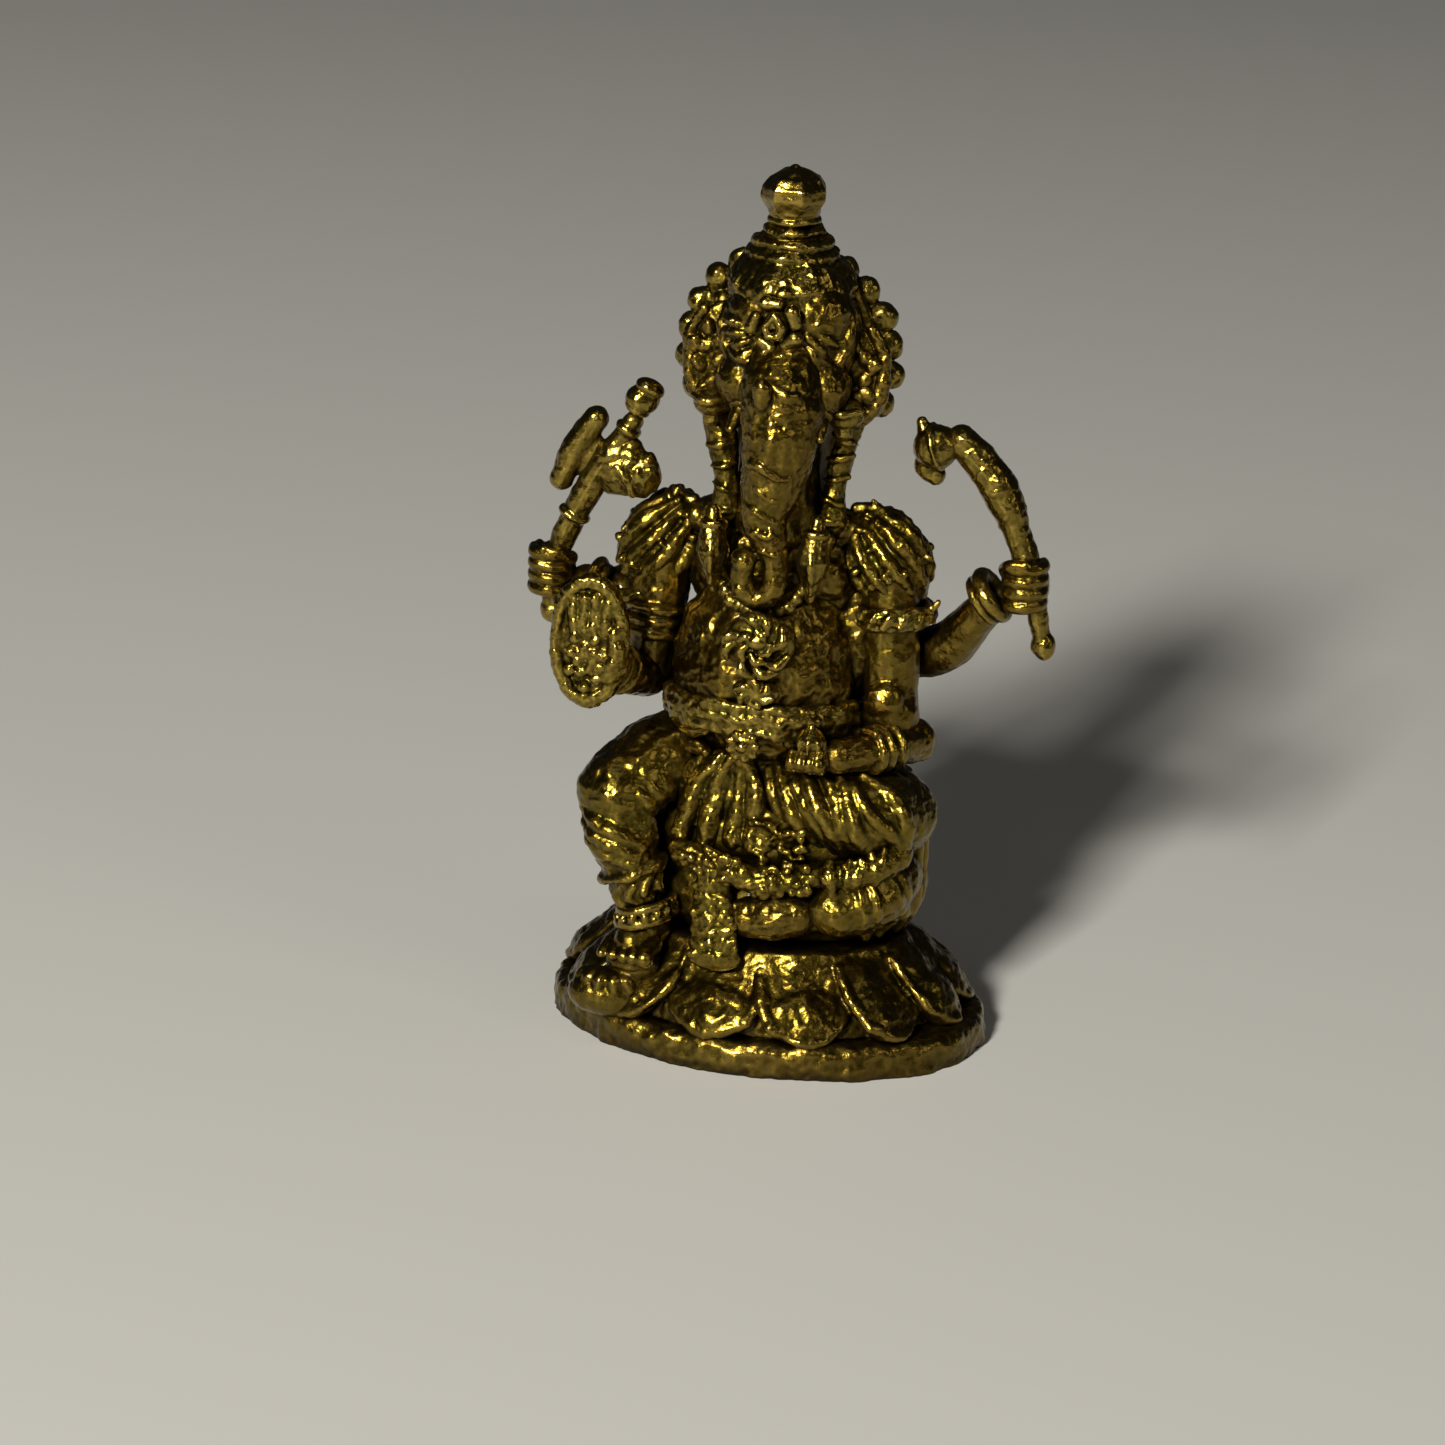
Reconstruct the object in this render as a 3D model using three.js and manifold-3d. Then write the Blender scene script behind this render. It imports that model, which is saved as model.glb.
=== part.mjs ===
// A small cast brass Ganesha: a four-armed, elephant-headed deity seated on a lotus plinth, one foot
// down, with an axe, a goad, a blessing hand and a sweet. It is cast in one pour from a wax that is
// built up of hand-made pieces, and each of those wax pieces is one named mesh here.
// Millimetres, +Z up, the figure faces -Y, and the origin is at the middle of the plinth's underside.
import * as THREE from "three";
import { mergeVertices } from "three/addons/utils/BufferGeometryUtils.js";
import Module from "manifold-3d";

const wasm = await Module();
wasm.setup();

// ---------------------------------------------------------------- driving dimensions

const SEAM_GAP = 0.1; // clearance between two pieces that touch

const PLINTH_HALF_WIDTH = 9.05;
const PLINTH_HALF_DEPTH = 6.3;
const PLINTH_HEIGHT = 1.4;
const LOTUS_HEIGHT = 3.3; // petals, from the plinth up to the seat
const LOTUS_FOOT_INSET = 2.05; // from the plinth's edge in to the foot of the lotus, under its petals
const LOTUS_TOP_INSET = 2.95; // from the plinth's edge in to the top of the lotus
const PETAL_COUNT = 13;
const SEAT_HEIGHT = 5.6;
const SEAT_HALF_WIDTH = 6.2;
const SEAT_HALF_DEPTH = 4.3;

const FIGURE_X = -0.3; // the figure sits a little off the plinth's middle
const TORSO_HEIGHT = 10.2; // hips to shoulders
const HEAD_HEIGHT = 8.1; // shoulders to the middle of the head
const BELLY_HALF_WIDTH = 3.9;
const HIP_FLOOR = 0.5; // from the hips up to the belly's lowest point
const HEAD_HALF_WIDTH = 2.9;
const SHOULDER_HALF_WIDTH = 4.75; // to the middle of each arm
const CHEST_INSET = 0.85; // from the middle of an arm in to the chest's side

const THIGH_RADIUS = 2.0;
const SHIN_RADIUS = 1.45;
const ANKLE_RADIUS = 1.0;
const UPPER_ARM_RADIUS = 1.25;
const FOREARM_RADIUS = 1.0;
const WRIST_RADIUS = 0.8;
const FIST_RADIUS = 1.15;
const BANGLE_WIRE = 0.4; // radius of a bangle's section
const TRUNK_ROOT_RADIUS = 1.65;
const TRUNK_TIP_RADIUS = 0.62;

const HALO_RADIUS = 4.05; // to the middle of its beads
const HALO_THICKNESS = 0.8;
const BEAD_RADIUS = 0.6;
const BEADS_PER_SIDE = 6;
const FIRST_BEAD = 30; // degrees from the top, just clear of the crown
const LAST_BEAD = 113; // degrees from the top, behind the earring

const CROWN_SEAT = 2.5; // from the middle of the head up to the crown's foot
const CROWN_RADIUS = 2.5;
const CROWN_HEIGHT = 2.1;
const FINIAL_RADIUS = 1.22;
const FINIAL_HEIGHT = 2.1;

const AXE_HANDLE_RADIUS = 0.62;
const GOAD_RADIUS = 0.78;

// ---------------------------------------------------------------- places that pieces hang from

const SEAT_BASE_Z = PLINTH_HEIGHT + LOTUS_HEIGHT;
const HIP_Z = SEAT_BASE_Z + SEAT_HEIGHT;
const SHOULDER_Z = HIP_Z + TORSO_HEIGHT;
const HEAD_Z = SHOULDER_Z + HEAD_HEIGHT;
const CROWN_Z = HEAD_Z + CROWN_SEAT;

const point = (x, y, z) => new THREE.Vector3(x, y, z);
const fromPlinth = (x, y, z) => point(x, y, PLINTH_HEIGHT + z);
const fromHips = (x, y, z) => point(FIGURE_X + x, y, HIP_Z + z);
const fromShoulders = (x, y, z) => point(FIGURE_X + x, y, SHOULDER_Z + z);
const fromHead = (x, y, z) => point(FIGURE_X + x, y, HEAD_Z + z);

// ---------------------------------------------------------------- shapes

const FORWARD = point(0, -1, 0);
const UP = point(0, 0, 1);

// A rounded lump: an ellipsoid with its own half sizes, turned by Euler angles in degrees.
function lump(centre, halfSizes, turn = [0, 0, 0], around = 8, over = 6) {
  return (grow) => {
    const turned = turn.map(THREE.MathUtils.degToRad);
    return new THREE.SphereGeometry(1, around, over)
      .rotateX(Math.PI / 2)
      .scale(halfSizes[0] + grow, halfSizes[1] + grow, halfSizes[2] + grow)
      .rotateX(turned[0])
      .rotateY(turned[1])
      .rotateZ(turned[2])
      .translate(centre.x, centre.y, centre.z);
  };
}

// A limb: a closed round profile strung along a smooth path, with a radius at each of its points.
// flat squeezes the section along facing, so a strap is a limb with a small flat.
function limb(path, radii, { flat = 1, facing = FORWARD, sides = 8, steps = 2 } = {}) {
  return (grow) => {
    const curve = new THREE.CatmullRomCurve3(path, false, "centripetal");
    const spans = path.length - 1;
    const stations = spans * steps;
    const radiusAt = (t) => {
      const i = Math.min(Math.floor(t * spans), spans - 1);
      return THREE.MathUtils.lerp(radii[i], radii[i + 1], t * spans - i);
    };
    const cap = [0, 0.7]; // share of the end radius at each ring of a rounded end
    const rings = [
      ...cap.map((c) => ({ t: 0, out: -Math.sqrt(1 - c * c), share: c })),
      ...Array.from({ length: stations + 1 }, (_, i) => ({ t: i / stations, out: 0, share: 1 })),
      ...cap.toReversed().map((c) => ({ t: 1, out: Math.sqrt(1 - c * c), share: c })),
    ];
    const profile = rings.map((ring, i) => new THREE.Vector2(ring.share, i));
    const geometry = new THREE.LatheGeometry(profile, sides);
    const place = geometry.getAttribute("position");
    for (let i = 0; i < place.count; i++) {
      const ring = rings[Math.round(place.getY(i))];
      const radius = radiusAt(ring.t) + grow;
      const along = curve.getTangent(ring.t);
      const across = point(0, 0, 0).crossVectors(along, facing).normalize();
      const outward = point(0, 0, 0).crossVectors(across, along).normalize();
      const spot = curve
        .getPoint(ring.t)
        .addScaledVector(along, ring.out * radius)
        .addScaledVector(across, place.getZ(i) * radius)
        .addScaledVector(outward, place.getX(i) * (radius - grow) * flat + place.getX(i) * grow);
      place.setXYZ(i, spot.x, spot.y, spot.z);
    }
    return geometry;
  };
}

// A turned piece: a profile of [radius, height] spun round the upright axis, then made oval.
function turned(centre, profile, depthShare = 1, sides = 14) {
  return (grow) => {
    const outline = profile.map(([radius, height], i) => {
      const lift = i === 0 ? -grow : i === profile.length - 1 ? grow : 0;
      return new THREE.Vector2(radius === 0 ? 0 : radius + grow, height + lift);
    });
    return new THREE.LatheGeometry(outline, sides)
      .rotateX(Math.PI / 2)
      .scale(1, depthShare, 1)
      .translate(centre.x, centre.y, centre.z);
  };
}

// A bangle: a closed ring of round wire whose hole faces along the limb that wears it.
function ring(centre, radius, wire, along, squash = 1) {
  return (grow) =>
    new THREE.TorusGeometry(radius, wire + grow, 5, 12)
      .scale(1, squash, 1)
      .applyQuaternion(new THREE.Quaternion().setFromUnitVectors(UP, along.clone().normalize()))
      .translate(centre.x, centre.y, centre.z);
}

// A smooth piece's closed geometry as a solid that booleans can use.
function solidOf(geometry) {
  const bare = geometry.index ? geometry.clone() : geometry;
  bare.deleteAttribute("normal");
  bare.deleteAttribute("uv");
  const merged = mergeVertices(bare, 1e-4);
  const corners = merged.index.array;
  const faces = [];
  for (let i = 0; i < corners.length; i += 3) {
    const [a, b, c] = corners.slice(i, i + 3);
    if (a !== b && b !== c && c !== a) faces.push(a, b, c);
  }
  const mesh = (triVerts) =>
    new wasm.Mesh({
      numProp: 3,
      vertProperties: merged.getAttribute("position").array,
      triVerts: new Uint32Array(triVerts),
    });
  const solid = new wasm.Manifold(mesh(faces));
  return solid.volume() < 0 ? new wasm.Manifold(mesh(faces.toReversed())) : solid;
}

// ---------------------------------------------------------------- finishes

const finish = (color, roughness) =>
  new THREE.MeshStandardMaterial({ color, roughness, metalness: 1 });
const BASE_BRASS = finish(0x6b5218, 0.4);
const BODY_BRASS = finish(0x7d6322, 0.32);
const CLOTH_BRASS = finish(0x735a1c, 0.38);
const ORNAMENT_BRASS = finish(0x927629, 0.28);

// ---------------------------------------------------------------- the pieces, inside to outside

const pieces = [];
// A piece gives one or more shapes that are joined. It is fitted round every piece listed before it.
function piece(name, group, material, ...shapes) {
  pieces.push({ name, group, material, shapes });
}

const plinthDepthShare = PLINTH_HALF_DEPTH / PLINTH_HALF_WIDTH;
const RIM_ROUNDING = 0.3;

piece(
  "plinth",
  "base",
  BASE_BRASS,
  turned(
    point(0, 0, 0),
    [
      [0, 0],
      [PLINTH_HALF_WIDTH - RIM_ROUNDING, 0],
      [PLINTH_HALF_WIDTH, RIM_ROUNDING],
      [PLINTH_HALF_WIDTH, PLINTH_HEIGHT - RIM_ROUNDING],
      [PLINTH_HALF_WIDTH - RIM_ROUNDING, PLINTH_HEIGHT],
      [0, PLINTH_HEIGHT],
    ],
    plinthDepthShare,
    32,
  ),
);

const seatDepthShare = SEAT_HALF_DEPTH / SEAT_HALF_WIDTH;
piece(
  "seat",
  "base",
  CLOTH_BRASS,
  turned(
    point(0, 0.3, SEAT_BASE_Z),
    [
      [0, 0],
      [SEAT_HALF_WIDTH * 0.86, 0],
      [SEAT_HALF_WIDTH, SEAT_HEIGHT * 0.25],
      [SEAT_HALF_WIDTH * 0.93, SEAT_HEIGHT * 0.5],
      [SEAT_HALF_WIDTH, SEAT_HEIGHT * 0.72],
      [SEAT_HALF_WIDTH * 0.82, SEAT_HEIGHT],
      [0, SEAT_HEIGHT],
    ],
    seatDepthShare,
    20,
  ),
);

// The pad under the hanging foot stands on the plinth, and the lotus opens round it.
piece(
  "foot_pad",
  "base",
  BASE_BRASS,
  lump(fromPlinth(-5.5, -4.35, 0.75), [1.9, 1.15, 1.15], [0, 0, 15], 8, 6),
);

// A petal leans outward from the seat's foot to the plinth's rim.
function petal(i) {
  const turn = ((i + 0.5) / PETAL_COUNT) * 2 * Math.PI;
  const reach = PLINTH_HALF_WIDTH - 1.75;
  const depthReach = PLINTH_HALF_DEPTH - 1.45;
  const centre = fromPlinth(Math.cos(turn) * reach, Math.sin(turn) * depthReach, 1.45);
  const outward = Math.atan2(Math.sin(turn) * depthReach, Math.cos(turn) * reach);
  const width = ((Math.PI * (reach + depthReach)) / PETAL_COUNT) * 0.62;
  return lump(centre, [0.75, width, 2.0], [0, -38, THREE.MathUtils.radToDeg(outward)], 6, 5);
}
piece(
  "lotus",
  "base",
  BASE_BRASS,
  turned(
    point(0, 0, PLINTH_HEIGHT + SEAM_GAP),
    [
      [0, 0],
      [PLINTH_HALF_WIDTH - LOTUS_FOOT_INSET, 0],
      [PLINTH_HALF_WIDTH - LOTUS_TOP_INSET, LOTUS_HEIGHT - 2 * SEAM_GAP],
      [0, LOTUS_HEIGHT - 2 * SEAM_GAP],
    ],
    plinthDepthShare * 1.05,
    18,
  ),
  ...Array.from({ length: PETAL_COUNT }, (_, i) => petal(i)),
);

const bellyHalfHeight = TORSO_HEIGHT / 2 - HIP_FLOOR;
piece(
  "belly",
  "torso",
  BODY_BRASS,
  lump(fromHips(-0.2, -0.5, TORSO_HEIGHT / 2), [BELLY_HALF_WIDTH, 3.5, bellyHalfHeight], [0, 0, 0], 14, 8),
);
piece(
  "chest",
  "torso",
  BODY_BRASS,
  lump(fromShoulders(-0.1, 0.5, -1.3), [SHOULDER_HALF_WIDTH - CHEST_INSET, 2.5, 3.2], [0, 0, 0], 12, 8),
);
piece(
  "neck",
  "torso",
  BODY_BRASS,
  limb(
    [fromShoulders(0, 0.3, 0.6), fromShoulders(0, 0.2, 2.6), fromShoulders(0, 0, 5)],
    [2.3, 2.0, 2.0],
    { sides: 12, flat: 0.8 },
  ),
);
piece(
  "head",
  "head",
  BODY_BRASS,
  lump(fromHead(0.3, -0.2, 0.2), [HEAD_HALF_WIDTH, 2.7, 3.0], [0, 0, 0], 14, 8),
);
piece(
  "trunk",
  "head",
  BODY_BRASS,
  limb(
    [
      fromHead(0.35, -1.7, -0.5),
      fromHead(0.5, -2.9, -2.2),
      fromHead(0.4, -3.2, -4.0),
      fromHead(0.35, -3.3, -5.8),
      fromHead(0.6, -3.4, -7.2),
      fromHead(0.75, -3.6, -8.5),
      fromHead(0.15, -3.8, -9.2),
      fromHead(-0.5, -3.9, -8.7),
    ],
    [TRUNK_ROOT_RADIUS, 1.4, 1.15, 0.95, 0.8, 0.72, 0.68, TRUNK_TIP_RADIUS],
    { steps: 2 },
  ),
);

// Legs: the right one hangs down to the foot pad, the left one is folded on the seat.
const rightKnee = fromHips(-5.5, -3.3, 0.0);
const rightAnkle = fromPlinth(-4.3, -3.7, 4.4);
piece(
  "right_thigh",
  "legs",
  CLOTH_BRASS,
  limb(
    [fromHips(-2.3, 0.2, 1.2), fromHips(-4.2, -1.8, 1.0), rightKnee],
    [THIGH_RADIUS, THIGH_RADIUS, THIGH_RADIUS * 0.88],
  ),
);
piece(
  "right_shin",
  "legs",
  CLOTH_BRASS,
  limb(
    [rightKnee.clone().add(point(0.1, -0.1, -0.9)), fromHips(-4.9, -3.7, -2.7), rightAnkle],
    [SHIN_RADIUS * 1.1, SHIN_RADIUS, ANKLE_RADIUS],
  ),
);
piece(
  "right_anklet",
  "legs",
  ORNAMENT_BRASS,
  ring(rightAnkle.clone().add(point(0, 0, -0.1)), ANKLE_RADIUS + 0.1, BANGLE_WIRE, UP),
);
piece(
  "right_foot",
  "legs",
  BODY_BRASS,
  limb(
    [
      rightAnkle.clone().add(point(0.05, 0.3, -1.1)),
      rightAnkle.clone().add(point(-0.3, -0.9, -1.5)),
      rightAnkle.clone().add(point(-0.75, -2.0, -1.9)),
    ],
    [ANKLE_RADIUS, 1.05, 0.75],
    { facing: UP, flat: 0.75 },
  ),
);
piece(
  "left_thigh",
  "legs",
  CLOTH_BRASS,
  limb(
    [fromHips(2.4, 0.2, 0.9), fromHips(4.0, -1.4, 0.0), fromHips(5.2, -1.6, -0.5)],
    [THIGH_RADIUS, THIGH_RADIUS * 1.15, THIGH_RADIUS * 0.95],
    { sides: 12 },
  ),
);
piece(
  "left_shin",
  "legs",
  CLOTH_BRASS,
  limb(
    [fromHips(5.2, -1.7, -2.6), fromHips(4.4, -2.9, -3.1), fromHips(2.7, -3.9, -3.6)],
    [SHIN_RADIUS * 0.95, SHIN_RADIUS, ANKLE_RADIUS],
  ),
);
piece(
  "left_hem",
  "legs",
  CLOTH_BRASS,
  limb(
    [fromHips(5.9, -2.6, -1.4), fromHips(4.9, -3.9, -1.9), fromHips(3.4, -4.2, -2.3)],
    [0.6, 0.75, 0.6],
    { flat: 0.8 },
  ),
);
piece(
  "left_foot",
  "legs",
  BODY_BRASS,
  limb(
    [fromHips(2.5, -4.0, -3.8), fromHips(1.2, -4.3, -4.2), fromHips(0.0, -4.4, -4.5)],
    [ANKLE_RADIUS * 0.95, 0.95, 0.7],
    { flat: 0.8 },
  ),
);

// The waist: a belt with its clasp and the sash that hangs between the legs.
piece(
  "belt",
  "torso",
  ORNAMENT_BRASS,
  ring(fromHips(-0.2, -0.5, 3.5), BELLY_HALF_WIDTH - 0.12, 0.5, point(0, 0.12, 1), 0.9),
);
piece(
  "belt_clasp",
  "torso",
  ORNAMENT_BRASS,
  lump(fromHips(-0.2, -3.95, 3.0), [0.85, 0.5, 0.8], [0, 0, 0], 8, 6),
);
piece(
  "front_sash",
  "torso",
  CLOTH_BRASS,
  limb(
    [fromHips(-0.3, -3.4, 2.2), fromHips(-0.6, -3.9, 0.6), fromHips(-0.9, -4.4, -1.4)],
    [0.8, 0.9, 1.0],
    { flat: 0.45 },
  ),
);
piece(
  "seat_drape",
  "base",
  CLOTH_BRASS,
  limb(
    [fromHips(-0.8, -4.3, -2.2), fromHips(-1.0, -4.6, -3.8), fromHips(-1.4, -4.9, -5.9)],
    [1.0, 1.15, 1.25],
    { flat: 0.4 },
  ),
);

// Jewels on the chest.
piece(
  "necklace",
  "torso",
  ORNAMENT_BRASS,
  limb(
    [
      fromShoulders(-2.7, -1.3, 0.8),
      fromShoulders(-2.1, -2.3, -0.9),
      fromShoulders(-0.1, -2.9, -2.0),
      fromShoulders(1.9, -2.3, -0.9),
      fromShoulders(2.5, -1.3, 0.8),
    ],
    [0.4, 0.45, 0.5, 0.45, 0.4],
    { sides: 8, steps: 2 },
  ),
);
piece(
  "medallion",
  "torso",
  ORNAMENT_BRASS,
  lump(fromHips(0.1, -3.85, TORSO_HEIGHT * 0.65), [1.35, 0.6, 1.25], [12, 0, 0], 10, 6),
);
for (const [side, x] of [
  ["right", -1],
  ["left", 1],
]) {
  piece(
    `${side}_tassel`,
    "torso",
    ORNAMENT_BRASS,
    limb(
      [
        fromShoulders(x * 2.05, -2.5, 1.5),
        fromShoulders(x * 2.0, -2.7, 0),
        fromShoulders(x * 1.9, -2.8, -1.3),
      ],
      [0.35, 0.62, 0.4],
      { sides: 8, steps: 2 },
    ),
  );
}

// Ears, tusks, earrings and the lappets of cloth that fall from the crown to the shoulders.
for (const [side, x] of [
  ["right", -1],
  ["left", 1],
]) {
  piece(
    `${side}_tusk`,
    "head",
    BODY_BRASS,
    limb(
      [fromHead(x * 1.35 + 0.3, -2.2, -2.0), fromHead(x * 1.75 + 0.3, -2.9, -3.0)],
      [0.45, 0.3],
      { sides: 8 },
    ),
  );
  piece(
    `${side}_ear`,
    "head",
    BODY_BRASS,
    lump(fromHead(x * 2.75, -0.2, -0.9), [1.15, 0.7, 2.3], [0, x * -8, x * -25], 10, 8),
  );
  piece(
    `${side}_earring`,
    "head",
    ORNAMENT_BRASS,
    lump(fromHead(x * 2.95, -1.0, -2.75), [0.85, 0.8, 0.7], [0, 0, 0], 8, 6),
  );
  piece(
    `${side}_lappet`,
    "head",
    CLOTH_BRASS,
    limb(
      [
        fromHead(x * 2.7 + 0.25, -0.2, -3.3),
        fromHead(x * 2.2 + 0.25, -0.3, -4.7),
        fromHead(x * 2.2 + 0.25, -0.7, -6.4),
      ],
      [0.55, 0.5, 0.65],
      { sides: 8, flat: 0.6 },
    ),
  );
}

// The crown: a stepped dome, then a lotus bud. The jewel sits on the forehead below it.
const crownFoot = point(FIGURE_X + 0.1, -0.1, CROWN_Z);
piece(
  "crown",
  "head",
  ORNAMENT_BRASS,
  turned(crownFoot, [
    [0, -0.6],
    [CROWN_RADIUS * 0.95, -0.3],
    [CROWN_RADIUS, CROWN_HEIGHT * 0.12],
    [CROWN_RADIUS * 0.84, CROWN_HEIGHT * 0.57],
    [CROWN_RADIUS * 0.62, CROWN_HEIGHT * 0.64],
    [CROWN_RADIUS * 0.58, CROWN_HEIGHT * 0.84],
    [CROWN_RADIUS * 0.4, CROWN_HEIGHT],
    [0, CROWN_HEIGHT],
  ]),
);
piece(
  "finial",
  "head",
  ORNAMENT_BRASS,
  turned(
    crownFoot.clone().add(point(0, 0, CROWN_HEIGHT + SEAM_GAP)),
    [
      [0, 0],
      [FINIAL_RADIUS * 0.8, 0],
      [FINIAL_RADIUS, FINIAL_HEIGHT * 0.42],
      [FINIAL_RADIUS * 0.75, FINIAL_HEIGHT * 0.75],
      [FINIAL_RADIUS * 0.25, FINIAL_HEIGHT * 0.96],
      [0, FINIAL_HEIGHT],
    ],
    1,
    12,
  ),
);
piece(
  "forehead_jewel",
  "head",
  ORNAMENT_BRASS,
  lump(fromHead(0.2, -2.75, 1.25), [0.75, 0.4, 0.85], [-15, 0, 0], 8, 6),
);

// The halo is a plate round the back of the head, with a row of beads down each side of it.
const haloCentre = fromHead(-0.2, 1.3, -0.9);
const haloPlate = (grow) =>
  new THREE.CylinderGeometry(
    HALO_RADIUS - BEAD_RADIUS / 2 + grow,
    HALO_RADIUS - BEAD_RADIUS / 2 + grow,
    HALO_THICKNESS + 2 * grow,
    18,
  ).translate(haloCentre.x, haloCentre.y, haloCentre.z);
const haloBeads = [-1, 1].flatMap((side) =>
  Array.from({ length: BEADS_PER_SIDE }, (_, i) => {
    const share = i / (BEADS_PER_SIDE - 1);
    const turn = THREE.MathUtils.degToRad(THREE.MathUtils.lerp(FIRST_BEAD, LAST_BEAD, share));
    const spot = point(side * Math.sin(turn) * HALO_RADIUS, 0, Math.cos(turn) * HALO_RADIUS);
    return lump(haloCentre.clone().add(spot), [BEAD_RADIUS, BEAD_RADIUS, BEAD_RADIUS]);
  }),
);
piece("halo", "head", ORNAMENT_BRASS, haloPlate, ...haloBeads);

// Front arms: the right hand is raised in blessing, the left one rests on the lap with a sweet.
const rightShoulder = fromShoulders(-SHOULDER_HALF_WIDTH, 0.2, -0.9);
const leftShoulder = fromShoulders(SHOULDER_HALF_WIDTH - 0.3, 0.2, -0.9);
const rightElbow = fromHips(-SHOULDER_HALF_WIDTH - 0.25, -0.6, 4.3);
const leftElbow = fromHips(SHOULDER_HALF_WIDTH + 0.2, -0.5, 3.6);
piece(
  "right_front_upper_arm",
  "arms",
  BODY_BRASS,
  limb(
    [rightShoulder, rightElbow],
    [UPPER_ARM_RADIUS, UPPER_ARM_RADIUS * 0.9],
  ),
);
piece(
  "right_front_forearm",
  "arms",
  BODY_BRASS,
  limb(
    [rightElbow.clone().add(point(-0.2, -0.4, 0)), rightElbow.clone().add(point(-0.8, -2.4, 0.9))],
    [FOREARM_RADIUS, WRIST_RADIUS],
    { facing: UP },
  ),
);
piece(
  "right_blessing_hand",
  "arms",
  BODY_BRASS,
  limb(
    [
      rightElbow.clone().add(point(-1.35, -3.3, 0.7)),
      rightElbow.clone().add(point(-1.55, -3.4, 2.3)),
      rightElbow.clone().add(point(-1.3, -3.3, 3.6)),
    ],
    [1.45, 1.5, 1.1],
    { flat: 0.42, sides: 12 },
  ),
);
piece(
  "left_front_upper_arm",
  "arms",
  BODY_BRASS,
  limb(
    [leftShoulder, leftElbow],
    [UPPER_ARM_RADIUS, UPPER_ARM_RADIUS * 0.95],
  ),
);
piece(
  "left_front_forearm",
  "arms",
  BODY_BRASS,
  limb(
    [
      leftElbow.clone().add(point(0.9, 0.4, -1.2)),
      leftElbow.clone().add(point(-0.15, -1.7, -1.0)),
      leftElbow.clone().add(point(-1.35, -2.8, -0.9)),
    ],
    [FOREARM_RADIUS * 0.95, FOREARM_RADIUS * 0.85, WRIST_RADIUS],
    { facing: UP },
  ),
);
piece(
  "left_front_hand",
  "arms",
  BODY_BRASS,
  lump(leftElbow.clone().add(point(-2.35, -3.25, -0.9)), [1.0, 0.75, 0.7], [0, 0, 15], 10, 6),
);
piece(
  "sweet",
  "arms",
  ORNAMENT_BRASS,
  turned(leftElbow.clone().add(point(-2.45, -3.4, -0.35)), [
    [0, 0],
    [0.7, 0.1],
    [0.65, 0.55],
    [0, 1.25],
  ], 1, 10),
);

// Rear arms, each with its fist: an axe on the right, a goad on the left.
const rightFist = fromShoulders(-9.35, 0.1, -2.35);
const leftFist = fromShoulders(9.85, 0.3, -0.75);
piece(
  "right_rear_arm",
  "arms",
  BODY_BRASS,
  limb(
    [
      fromShoulders(-SHOULDER_HALF_WIDTH - 0.5, 1.3, -1.6),
      fromShoulders(-6.7, 1.3, -3.3),
      rightFist.clone().add(point(1.3, 0.3, -0.5)),
    ],
    [UPPER_ARM_RADIUS * 0.9, FOREARM_RADIUS, WRIST_RADIUS],
  ),
);
piece(
  "left_rear_arm",
  "arms",
  BODY_BRASS,
  limb(
    [
      fromShoulders(5.0, 1.9, -4.7),
      fromShoulders(6.2, 1.4, -4.5),
      leftFist.clone().add(point(-1.6, 0.2, -1.3)),
    ],
    [UPPER_ARM_RADIUS * 0.9, FOREARM_RADIUS * 1.05, WRIST_RADIUS],
  ),
);
piece(
  "left_rear_bangle",
  "arms",
  ORNAMENT_BRASS,
  ring(leftFist.clone().add(point(-1.45, 0.2, -1.1)), WRIST_RADIUS + 0.2, BANGLE_WIRE, point(1, 0, 0.75)),
);
piece(
  "right_rear_bangle",
  "arms",
  ORNAMENT_BRASS,
  ring(rightFist.clone().add(point(1.55, 0.35, -0.6)), WRIST_RADIUS + 0.2, BANGLE_WIRE, point(-1, 0, 0.35)),
);

const axePath = [
  rightFist.clone().add(point(0.15, 0, -1.7)),
  rightFist.clone(),
  rightFist.clone().add(point(0.95, 0, 2.6)),
  rightFist.clone().add(point(2.1, 0, 4.7)),
  rightFist.clone().add(point(3.3, 0, 6.6)),
];
piece(
  "axe_handle",
  "arms",
  ORNAMENT_BRASS,
  limb(axePath, [0.6, AXE_HANDLE_RADIUS, AXE_HANDLE_RADIUS, AXE_HANDLE_RADIUS, 0.45], { sides: 8 }),
);
piece(
  "axe_finial",
  "arms",
  ORNAMENT_BRASS,
  lump(axePath[4].clone().add(point(0.35, 0, 0.95)), [0.75, 0.7, 0.85], [0, 25, 0], 8, 6),
);
piece(
  "axe_blade",
  "arms",
  ORNAMENT_BRASS,
  limb(
    [rightFist.clone().add(point(0.35, 0, 4.0)), rightFist.clone().add(point(1.75, 0, 6.5))],
    [0.62, 0.62],
    { sides: 8 },
  ),
  lump(axePath[3].clone().add(point(-0.35, 0, 0.2)), [0.85, 0.5, 1.1], [0, 28, 0], 8, 6),
);
piece(
  "axe_poll",
  "arms",
  ORNAMENT_BRASS,
  lump(axePath[3].clone().add(point(1.0, 0, -0.15)), [1.2, 0.65, 1.1], [0, 28, 0], 8, 6),
);
piece("right_rear_fist", "arms", BODY_BRASS, lump(rightFist, [FIST_RADIUS, FIST_RADIUS, 1.35]));

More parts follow.
